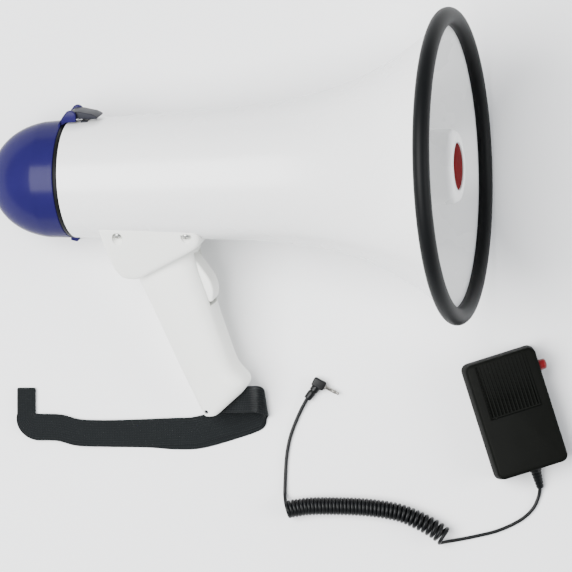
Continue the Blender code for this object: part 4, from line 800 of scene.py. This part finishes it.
def grip_grid():
    """Rows of x = middle + depth c|c|^(2/p - 1), y = half s|s|^(2/p - 1), with c and s the cosine and sine of
    the angle, down the heights. The rear edge is the line GRIP_REAR - GRIP_RAKE z plus the heel's bow."""
    z, front, half = through(GRIP_STATIONS, 90).T[:, :, None]
    rear = GRIP_REAR - GRIP_RAKE * z + np.interp(z, *np.transpose(GRIP_BOW))
    a = np.linspace(0, ROUND, 72, endpoint=False)[None]
    c, s = np.cos(a), np.sin(a)
    bend = 2 / GRIP_POWER
    x = (rear + front) / 2 + (front - rear) / 2 * np.sign(c) * np.abs(c) ** bend
    return np.stack([x, half * np.sign(s) * np.abs(s) ** bend, z + 0 * a], -1)


def saddle_half(z):
    """Half the saddle's width at a height: it widens by SADDLE_TAPER of the way up."""
    return SADDLE_HALF + SADDLE_TAPER * (z - SADDLE_TOP)


def block(name, low, high, at=HERE):
    """A plain box between two corners, mostly to cut with."""
    corners = [(low[0], low[1]), (high[0], low[1]), (high[0], high[1]), (low[0], high[1])]
    return slab(name, corners, low[2], high[2], 0.0, at, "xy")


saddle = slab("saddle", rounded(SADDLE_LINE, 0.005, 7), -SADDLE_HALF, SADDLE_HALF, 0.0032, HERE)
moved(saddle, lambda p: np.stack([p[:, 0], p[:, 1] * saddle_half(p[:, 2]) / SADDLE_HALF, p[:, 2]], -1))
handle = carve(saddle, solid("grip", grip_grid()), way="UNION")
melt = handle.modifiers.new("melt", "REMESH")
melt.mode, melt.voxel_size = "VOXEL", VOXEL
ease = handle.modifiers.new("ease", "SMOOTH")
ease.factor, ease.iterations = 0.5, 16
settle(handle)
print("handle blank", len(handle.data.polygons), "faces")

# %% [markdown]
# The horn's own line cuts the saddle to fit it. Boxes cut the slots for the trigger and the strap, and round
# bars cut the screws' pockets. Each pocket's seat is kept, because the screws stand on them later.

# %% Pockets, slots and the split
SADDLE_SCREW_X, SADDLE_SCREW_ANGLE, SCREW_SEAT = (0.0350, 0.0845), math.radians(37.6), 0.0015
GRIP_SCREWS, GRIP_SEAT = ((0.0700, -0.1020), (0.0830, -0.1420)), 0.0139
POCKET_DEEP = 0.0200
PIVOT = (0.0785, -0.0590)
STRAP_PIN, STRAP_LEVEL, STRAP_W, STRAP_T = (0.0780, -0.1730), -0.1640, 0.0190, 0.0032
CROSS_PIN = (0.0812, -0.1685)  # the strap's pin, a little inside the heel
core_x = np.linspace(-0.02, 0.13, 40)
core_line = [(core_x[0], 0), *zip(core_x, horn_radius(core_x) - WALL / 2), (core_x[-1], 0)]
cutters = [
    turned("core", core_line, HERE, 128),
    block("trigger_slot", (PIVOT[0] - 0.0060, -0.0085, -0.0925), (PIVOT[0] + 0.03, 0.0085, -0.0540)),
    block("strap_slot", (CROSS_PIN[0] + 0.0022, -0.0021, STRAP_LEVEL - 0.0100),
          (STRAP_PIN[0] + 0.04, 0.0021, STRAP_LEVEL + 0.0100)),
    rod("strap_hole", (CROSS_PIN[0], -0.03, CROSS_PIN[1]), (CROSS_PIN[0], 0.03, CROSS_PIN[1]), 0.0015, HERE),
]
saddle_seats = []
for x in SADDLE_SCREW_X:
    for side in (-1, 1):
        way = np.array([0.0, side * math.sin(SADDLE_SCREW_ANGLE), -math.cos(SADDLE_SCREW_ANGLE)])
        saddle_seats.append((np.array([x, 0, 0]) + way * (horn_radius(x) + SCREW_SEAT), way))
grip_seats = [(np.array([x, GRIP_SEAT, z]), np.array([0.0, 1.0, 0.0])) for x, z in GRIP_SCREWS]
for seats, sunk, radius in ((saddle_seats, 0.0003, 0.0039), (grip_seats, 0.0002, 0.0034)):
    for seat, way in seats:
        cutters.append(rod("pocket", seat - way * sunk, seat + way * POCKET_DEEP, radius, HERE, 48))
carve(handle, *cutters)


def onto_megaphone(made):
    """Takes a solid drawn in the megaphone's axes to where the megaphone lies."""
    return moved(made, lambda p: placed(p, MEGAPHONE))


for name, side in (("handle_right", -1), ("handle_left", 1)):
    low, high = sorted((side * SPLIT_GAP / 2, side * 0.06))
    half = bpy.data.objects.new("shell_" + name, handle.data.copy())
    bpy.context.scene.collection.objects.link(half)
    carve(half, block("keep", (-0.03, low, -0.2), (0.2, high, 0.0)), way="INTERSECT")
    show(onto_megaphone(half), GRIP_WHITE, "megaphone", "white_plastic", name)
bpy.data.objects.remove(handle)
pin_ends = [(CROSS_PIN[0], y, CROSS_PIN[1]) for y in (-0.0122, 0.0122)]
cross_pin = rod("strap_cross_pin", *pin_ends, 0.0013, MEGAPHONE)
show(cross_pin, LEVER_GREY, "megaphone", "steel", "strap_pin")
print(len(cutters), "cuts,", len(saddle_seats) + len(grip_seats), "screw pockets")

# %% [markdown]
# Pan head screws with a cross recess, the trigger, and the controls on the handle's left side: the volume
# dial with its white mark, the siren switch and the socket for the microphone.

# %% Screws, trigger and controls
def screw(name, seat, way, at, body, replaced, radius=0.0030, head=0.0016):
    """A pan head on a short shank, along x: the head is a low dome, and its cross is cut 0.6 of its
    height."""
    place = along(way, seat, at)
    turn = np.linspace(0, math.pi / 2, 12)
    dome = np.stack([head * np.cos(turn), radius * np.sin(turn) ** 0.7], -1)
    made = turned(name, [*dome, (0, radius), (0, radius / 2), (-0.003, radius / 2), (-0.003, 0)], place, 40)
    wide, long = radius * 0.11, radius * 0.62
    for half_y, half_z in ((wide, long), (long, wide)):
        carve(made, block("cross", (head * 0.4, -half_y, -half_z), (head * 2, half_y, half_z), place))
    return show(made, STEEL, body, "steel", replaced)


for i, (seat, way) in enumerate(saddle_seats, 1):
    screw(f"pan_screw_{i}", seat, way, MEGAPHONE, "megaphone", f"saddle_screw_{i}")
for i, (seat, way) in enumerate(grip_seats, 1):
    screw(f"grip_pan_screw_{i}", seat, way, MEGAPHONE, "megaphone", f"grip_screw_{i}")

x, z = PIVOT
trigger_line = [
    (x + 0.0032, z + 0.0022), *round_part(PIVOT, 0.0036, 60, 200, 9), (x - 0.0022, z - 0.0150),
    (x + 0.0030, z - 0.0305), (0.0925, -0.0900), (0.0941, -0.0832), (0.0935, -0.0778), (0.0915, -0.0725),
    (0.0885, -0.0675), (0.0850, -0.0620), (x + 0.0032, z + 0.0022),
]
trigger_line = rounded(trigger_line, 0.0022, 6)[:-1]
show(slab("trigger_blade", trigger_line, -0.0080, 0.0080, 0.0016, MEGAPHONE), GRIP_WHITE, "trigger",
     "white_plastic", "trigger")

side_way = np.array([0.0, 1.0, -SADDLE_TAPER])
side_way = side_way / np.linalg.norm(side_way)
KNOB, KNOB_R, KNOB_TOP = (0.0500, -0.0500), 0.0085, 0.0096
knob_at = along(side_way, (KNOB[0], saddle_half(KNOB[1]), KNOB[1]), MEGAPHONE)
knob_line = [(KNOB_TOP, 0), (KNOB_TOP, 0.0066), (KNOB_TOP - 0.0006, 0.0074), (0.0026, 0.0079),
             (0.0022, KNOB_R), (0.0006, KNOB_R), (0.0006, 0.0032), (0.0076, 0.0032), (0.0076, 0)]


def knob_flutes(x, r, angle):
    """Twenty-four shallow scallops of the dial's side: -0.35 mm times the fourth power of a cosine."""
    on_side = (r > 0.0068) & (x > 0.0024)
    return np.where(on_side, -0.00035 * np.cos(12 * angle) ** 4, 0)


dial = turned("volume_dial", rounded(knob_line, 0.0005), knob_at, 240, flutes=knob_flutes)
show(dial, INNER_BLACK, "volume_knob", "black_plastic", "volume_knob")
mark = block("dial_mark", (KNOB_TOP - 0.0002, -0.0004, 0.0020), (KNOB_TOP + 0.0002, 0.0004, 0.0062), knob_at)
show(mark, HORN_WHITE, "volume_knob", "white_plastic")

SOCKET = (0.0330, -0.0470)
socket_at = along(side_way, (SOCKET[0], saddle_half(SOCKET[1]), SOCKET[1]), MEGAPHONE)
socket_line = [(0.0022, 0.0014), (0.0024, 0.0018), (0.0022, 0.0037), (0.0014, 0.0045), (0.0003, 0.0045),
               (0.0003, 0.0031), (-0.0080, 0.0031), (-0.0080, 0.0014)]
show(turned("socket_nut", socket_line, socket_at, 48, ring=True), NICKEL, "megaphone", "steel", "mic_socket")

SWITCH = (0.0700, -0.0430)
tab_face = [SWITCH[0], saddle_half(SWITCH[1]), SWITCH[1]]
tab_axes = np.column_stack([[1, 0, 0], np.cross(side_way, [1, 0, 0]), side_way, tab_face])
tab = slab("siren_tab", box_outline(0.0030, 0.0020, 0.0005), -0.0040, 0.0030, 0.0005, tab_axes, "xy")
show(onto_megaphone(tab), INNER_BLACK, "siren_switch", "black_plastic", "siren_switch")
WINDOW_AT = (0.0020, 0)  # the middle of the tab's travel
frame_line = box_outline(0.0062, 0.0036, 0.0010, centre=WINDOW_AT)
hole_line = box_outline(0.0053, 0.0023, 0.0003, centre=WINDOW_AT)
window = slab("switch_surround", frame_line, -0.0005, 0.0006, 0.0003, tab_axes, "xy")
carve(window, slab("window", hole_line, -0.004, 0.004, 0, tab_axes, "xy"))
show(onto_megaphone(window), INNER_BLACK, "megaphone", "black_plastic")
print("dial", round(KNOB_R * 2000), "mm across")

# %% [markdown]
# The wrist strap is one length of 19 mm webbing, doubled. Both layers leave the slot in the grip together,
# fold over on the floor, run along it to the left, and turn up at the end, where the webbing bends back on
# itself. Its shape is a list of cross-sections, each a middle, a half width and a direction across the
# layers. Fine sections are blended between them, and the ribbon goes out along the top and back below.

# %% Wrist strap
FOLD = (-0.0176, -0.0802)
RUN = (
    (-0.0205, -0.0930), (-0.0415, -0.1006), (-0.0621, -0.1061), (-0.0781, -0.1067), (-0.0980, -0.1054),
    (-0.1292, -0.1049), (-0.1479, -0.1041), (-0.1612, -0.1008), (-0.1768, -0.1003),
)
TAB_CORNER, TAB_LONG, TAB_HALF = (-0.1782, -0.0906), 0.0168, 0.00655
BEND, LAYER, LAYER_APART = 0.0032, 0.0014, 0.0017
SPREAD = (  # place along the run, how far the upper layer is shifted sideways there
    (-0.130, 0.0), (-0.100, 0.0012), (-0.078, 0.0038), (-0.045, 0.0044), (-0.022, 0.0030), (0.0, 0.0),
)
SPREAD_ROUNDS = 20
SELVEDGE_POWER = 12  # the higher, the squarer the webbing's edges


def strap_stations():
    """Rows of nine numbers: the middle, the half width and the direction across the layers."""
    half, thick = STRAP_W / 2, STRAP_T / 2
    rows = []
    for x in (0.0030, 0.0300):
        start = placed([STRAP_PIN[0] + x, 0, STRAP_LEVEL], MEGAPHONE) - SET_CENTRE
        rows.append([*start, *(MEGAPHONE[:, 2] * half), *(-MEGAPHONE[:, 1])])
    rows.append([FOLD[0] - 0.0020, FOLD[1], 2 * BEND + thick + 0.0016, 0, half, 0, 0.12, 0, 1])
    run = np.array([(*point, thick) for point in RUN])
    first = (run[0] - run[1]) / np.linalg.norm(run[0] - run[1])
    for share in (0.25, 0.5, 0.75):
        angle = math.pi * (0.5 - share)
        out = np.array([math.cos(angle), 0, math.sin(angle)])
        fold, landing = np.array([*FOLD, thick + BEND]), np.array([*RUN[0], thick + BEND])
        middle = fold * (1 - share / 2) + landing * share / 2
        width = np.array([0, 1, 0]) * (1 - share) + np.array([-first[1], first[0], 0]) * share
        rows.append([*(middle + out * BEND), *(width / np.linalg.norm(width) * half), *out])
    for middle, way in zip(run, -along_units(run)):
        rows.append([*middle, *(np.array([-way[1], way[0], 0]) * half), 0, 0, -1])
    return np.array(rows), thick


def strap_rows():
    """The stations blended by cubics, then a fan round the tab's inner corner, then the straight tab."""
    stations, thick = strap_stations()
    rows = [through(stations, 190)]
    corner = np.array([*TAB_CORNER, thick])
    for share in np.linspace(0, 1, 16):
        angle = -math.pi / 2 * (1 + share)
        reach = np.array([math.cos(angle), math.sin(angle), 0])
        reach = reach * (STRAP_W * (1 - share) + 2 * TAB_HALF * share)
        rows.append([[*(corner + reach / 2), *(-reach / 2), 0, 0, -1]])
    for share in np.linspace(0.1, 1, 12):
        middle = corner + (-TAB_HALF, TAB_LONG * share, 0)
        rows.append([[*middle, TAB_HALF, 0, 0, 0, 0, -1]])
    middle, width, across = np.split(np.vstack(rows), 3, axis=1)
    slant = np.sum(across * width, 1) / np.sum(width**2, 1)  # across is made square to the width
    across = across - width * slant[:, None]
    return middle + SET_CENTRE, width, across / np.linalg.norm(across, axis=1)[:, None]


middle, width, across = strap_rows()
ahead = along_units(middle)
turn = np.linspace(0, math.pi, 9)[1:-1, None]
round_bight = ahead[-1] * np.sin(turn) - across[-1] * np.cos(turn)
bight = middle[-1] + LAYER_APART / 2 * round_bight
spread = np.interp(middle[:, 0] - SET_CENTRE[0], *np.transpose(SPREAD)) * (across[:, 2] < -0.9)
for _ in range(SPREAD_ROUNDS):  # the step where the sideways shift of the upper layer begins is eased
    spread[1:-1] = (spread[:-2] + 2 * spread[1:-1] + spread[2:]) / 4
shifted = middle + width / (STRAP_W / 2) * spread[:, None]
path = np.vstack([shifted - across * LAYER_APART / 2, bight, (middle + across * LAYER_APART / 2)[::-1]])
out = np.vstack([-across, round_bight, across[::-1]])
wide = np.vstack([width, np.repeat(width[-1:], len(bight), 0), width[::-1]])
u = np.linspace(-1, 1, 25)
lift = LAYER / 2 * np.sqrt(np.clip(1 - np.abs(u) ** SELVEDGE_POWER, 0, 1))
u, lift = np.concatenate([u, u[-2:0:-1]]), np.concatenate([lift, -lift[-2:0:-1]])
gone = np.concatenate([[0], np.cumsum(np.linalg.norm(np.diff(path, axis=0), axis=1))])
grid = path[:, None] + wide[:, None] * u[None, :, None] + out[:, None] * lift[None, :, None]
across_m, along_m = np.broadcast_arrays(u * STRAP_W / 2, gone[:, None])
thread = np.stack([across_m, along_m, 0 * across_m], -1)
strap = show(solid("strap_webbing", grid, thread=thread), WEBBING, "megaphone", "webbing", "wrist_strap")

# %% [markdown]
# The microphone is a flat case in two halves. The face is set in on its left and top edges, as if the mould
# leaned there, so a paler band of the side shows along both.

# %% Microphone
MIC_X, MIC_Y, MIC_SPLIT, MIC_THICK, MIC_CORNER, MIC_EDGE = 0.0268, 0.0425, 0.0120, 0.0270, 0.0052, 0.0022
LEAN_LEFT, LEAN_TOP = 0.0030, 0.0015
case_line = box_outline(MIC_X, MIC_Y, MIC_CORNER, 10, centre=(0.0002, -0.0006))
back_half = slab("case_back", case_line, 0.0, MIC_SPLIT, 0.0003, MICROPHONE, "xy", low_edge=MIC_EDGE)
MIC_SCREWS = ((-0.0150, -0.0280), (0.0150, 0.0080))
for x, y in MIC_SCREWS:
    carve(back_half, rod("sink", (x, y, -0.002), (x, y, 0.0012), 0.0027, MICROPHONE))
show(back_half, CASE_BLACK, "microphone", "black_plastic", "mic_back_shell")
for i, (x, y) in enumerate(MIC_SCREWS, 1):
    screw(f"case_screw_{i}", (x, y, 0.0010), (0, 0, -1), MICROPHONE, "microphone", f"mic_screw_{i}",
          radius=0.0024, head=0.0009)


def lean_in(p):
    """The face's left edge moves right by LEAN_LEFT and its top edge down by LEAN_TOP, in step with the
    height above the split."""
    rise = np.clip((p[:, 2] - MIC_SPLIT) / (MIC_THICK - MIC_SPLIT), 0, 1)
    left, top = 0.5 - p[:, 0] / (2 * MIC_X), 0.5 + p[:, 1] / (2 * MIC_Y)
    return np.stack([p[:, 0] + LEAN_LEFT * rise * left, p[:, 1] - LEAN_TOP * rise * top, p[:, 2]], -1)


front_half = slab("case_front", case_line, MIC_SPLIT + 0.0003, MIC_THICK, MIC_EDGE, HERE, "xy",
                  low_edge=0.0003)
moved(front_half, lambda p: placed(lean_in(p), MICROPHONE))
PTT_Y, PTT_Z, PTT_R, PTT_PROUD = 0.0262, 0.0190, 0.0040, 0.0055
well_ends = [(MIC_X + x, PTT_Y, PTT_Z) for x in (-0.008, 0.01)]
carve(front_half, rod("well", *well_ends, PTT_R + 0.0004, MICROPHONE))
show(front_half, CASE_BLACK, "microphone", "black_plastic", "mic_front_shell")
print("microphone", [round(2000 * half, 1) for half in (MIC_X, MIC_Y)], "mm")

# %% [markdown]
# The ribbed grille is a sheet of heights: a low wedge, thickest at its lower edge, less a row of grooves,
# with a raised thin rib along its left side. Its sides and its underside close it. The talk button is a
# round plunger with a rounded end.

# %% Grille and talk button
GRILLE_HALF, GRILLE_TOP, GRILLE_LONG, RIBS = 0.0179, 0.0392, 0.0392, 13
GRILLE_EDGE, GROOVE, ACROSS = 0.0018, 0.0011, 300  # border, depth of a groove, points across


def grille_height(x, y):
    """Wedge + thin rib - grooves: the wedge rises 1.3 mm down the grille, the grooves are powers of a cosine
    across it, and all of it rounds off near the border."""
    down = np.clip((GRILLE_TOP - y) / GRILLE_LONG, 0, 1)
    wedge = 0.0003 + 0.0013 * down**1.5
    wave = np.cos(ROUND * RIBS * (x + GRILLE_HALF) / (2 * GRILLE_HALF) + math.pi)
    grooves = GROOVE * (0.5 - 0.5 * wave) ** 1.6
    inside = (np.abs(x) < GRILLE_HALF) & (down < 0.955)
    rib = 0.0007 * np.exp(-(((x + GRILLE_HALF + 0.0011) / 0.00045) ** 2))
    upright = np.minimum(y - GRILLE_TOP + GRILLE_LONG, GRILLE_TOP - y + 0.0008)
    border = np.minimum(GRILLE_HALF + GRILLE_EDGE - np.abs(x), upright)
    round_off = np.sqrt(1 - (1 - np.clip(border / 0.0009, 0, 1)) ** 2)
    return MIC_THICK - 0.0006 + (0.0006 + wedge + rib - np.where(inside, grooves, 0)) * round_off


gx = np.linspace(-GRILLE_HALF - GRILLE_EDGE, GRILLE_HALF + GRILLE_EDGE, ACROSS)
LOW_STEPS = 0.0022  # the wedge's lower end is drawn finer
gy = [np.linspace(0, LOW_STEPS, 14), np.linspace(LOW_STEPS, GRILLE_LONG, 30)[1:], [GRILLE_LONG + 0.0006]]
gy = np.concatenate(gy) + GRILLE_TOP - GRILLE_LONG
top = np.stack(np.broadcast_arrays(gx, gy[:, None], grille_height(gx, gy[:, None])), -1)
under = [np.stack([0 * gy + side, gy, 0 * gy + MIC_THICK - 0.0012], -1) for side in (gx[-1], gx[0])]
sheet = np.concatenate([top, np.stack(under, 1)], 1)
grille = solid("grille_ribs", placed(lean_in(sheet.reshape(-1, 3)), MICROPHONE).reshape(sheet.shape))
show(grille, CASE_BLACK, "microphone", "black_plastic")

button_at = along((1, 0, 0), (MIC_X, PTT_Y, PTT_Z), MICROPHONE)
PTT_END, PTT_SLIM = 0.0022, PTT_R - 0.0003  # the rounded end's length, and the radius above the step
turn = np.linspace(0, math.pi / 2, 12)
rounded_end = [PTT_PROUD - PTT_END + PTT_END * np.sin(turn), PTT_SLIM * np.cos(turn) ** 0.6]
button_line = np.vstack([[(-0.004, 0), (-0.004, PTT_R), (0.0012, PTT_R), (0.0016, PTT_R - 0.0002)],
                         np.transpose(rounded_end)])
show(turned("talk_button", button_line, button_at, 64), BUTTON_RED, "ptt_button", "red_plastic", "ptt_button")
print(RIBS, "grooves,", len(grille.data.polygons), "faces")

# %% [markdown]
# Floor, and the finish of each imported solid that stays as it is: the driver, the batteries, the board and
# the pins. Their mesh isn't touched, only their material.

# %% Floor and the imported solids' finishes
FLOOR_HALF, FLOOR_GAP = 3.0, 0.0002
card = bpy.data.meshes.new("studio_floor")
level = cad_box[0][2] - FLOOR_GAP
corners = [(x * FLOOR_HALF, y * FLOOR_HALF, level) for x, y in ((-1, -1), (1, -1), (1, 1), (-1, 1))]
card.from_pydata(corners, [], [(0, 1, 2, 3)])
card.materials.append(FLOOR)
floor = bpy.data.objects.new("studio_floor", card)
bpy.context.scene.collection.objects.link(floor)

KEPT = {
    HORN_WHITE: ["driver_bulkhead", "horn_spider"],
    LEVER_GREY: ["latch_catch"],
    INNER_BLACK: ["throat_tube", "battery_holder", "trigger_switch", "mic_switch"],
    STEEL: ["driver_back_plate", "driver_top_plate", "cover_hinge_pin", "latch_pin", "trigger_pin",
            "volume_pot", "mic_capsule", "contact_spring_1", "contact_spring_2", "contact_spring_3"],
    CELL_JACKET: [f"battery_{i}" for i in range(1, 7)],
    COPPER: ["voice_coil"],
    FERRITE: ["driver_magnet"],
    FILM: ["diaphragm"],
    BOARD: ["amplifier_board"],
}
for material, names in KEPT.items():
    for name in names:
        nodes[name].data.materials.clear()
        nodes[name].data.materials.append(material)
print(sum(map(len, KEPT.values())), "packed solids dressed")
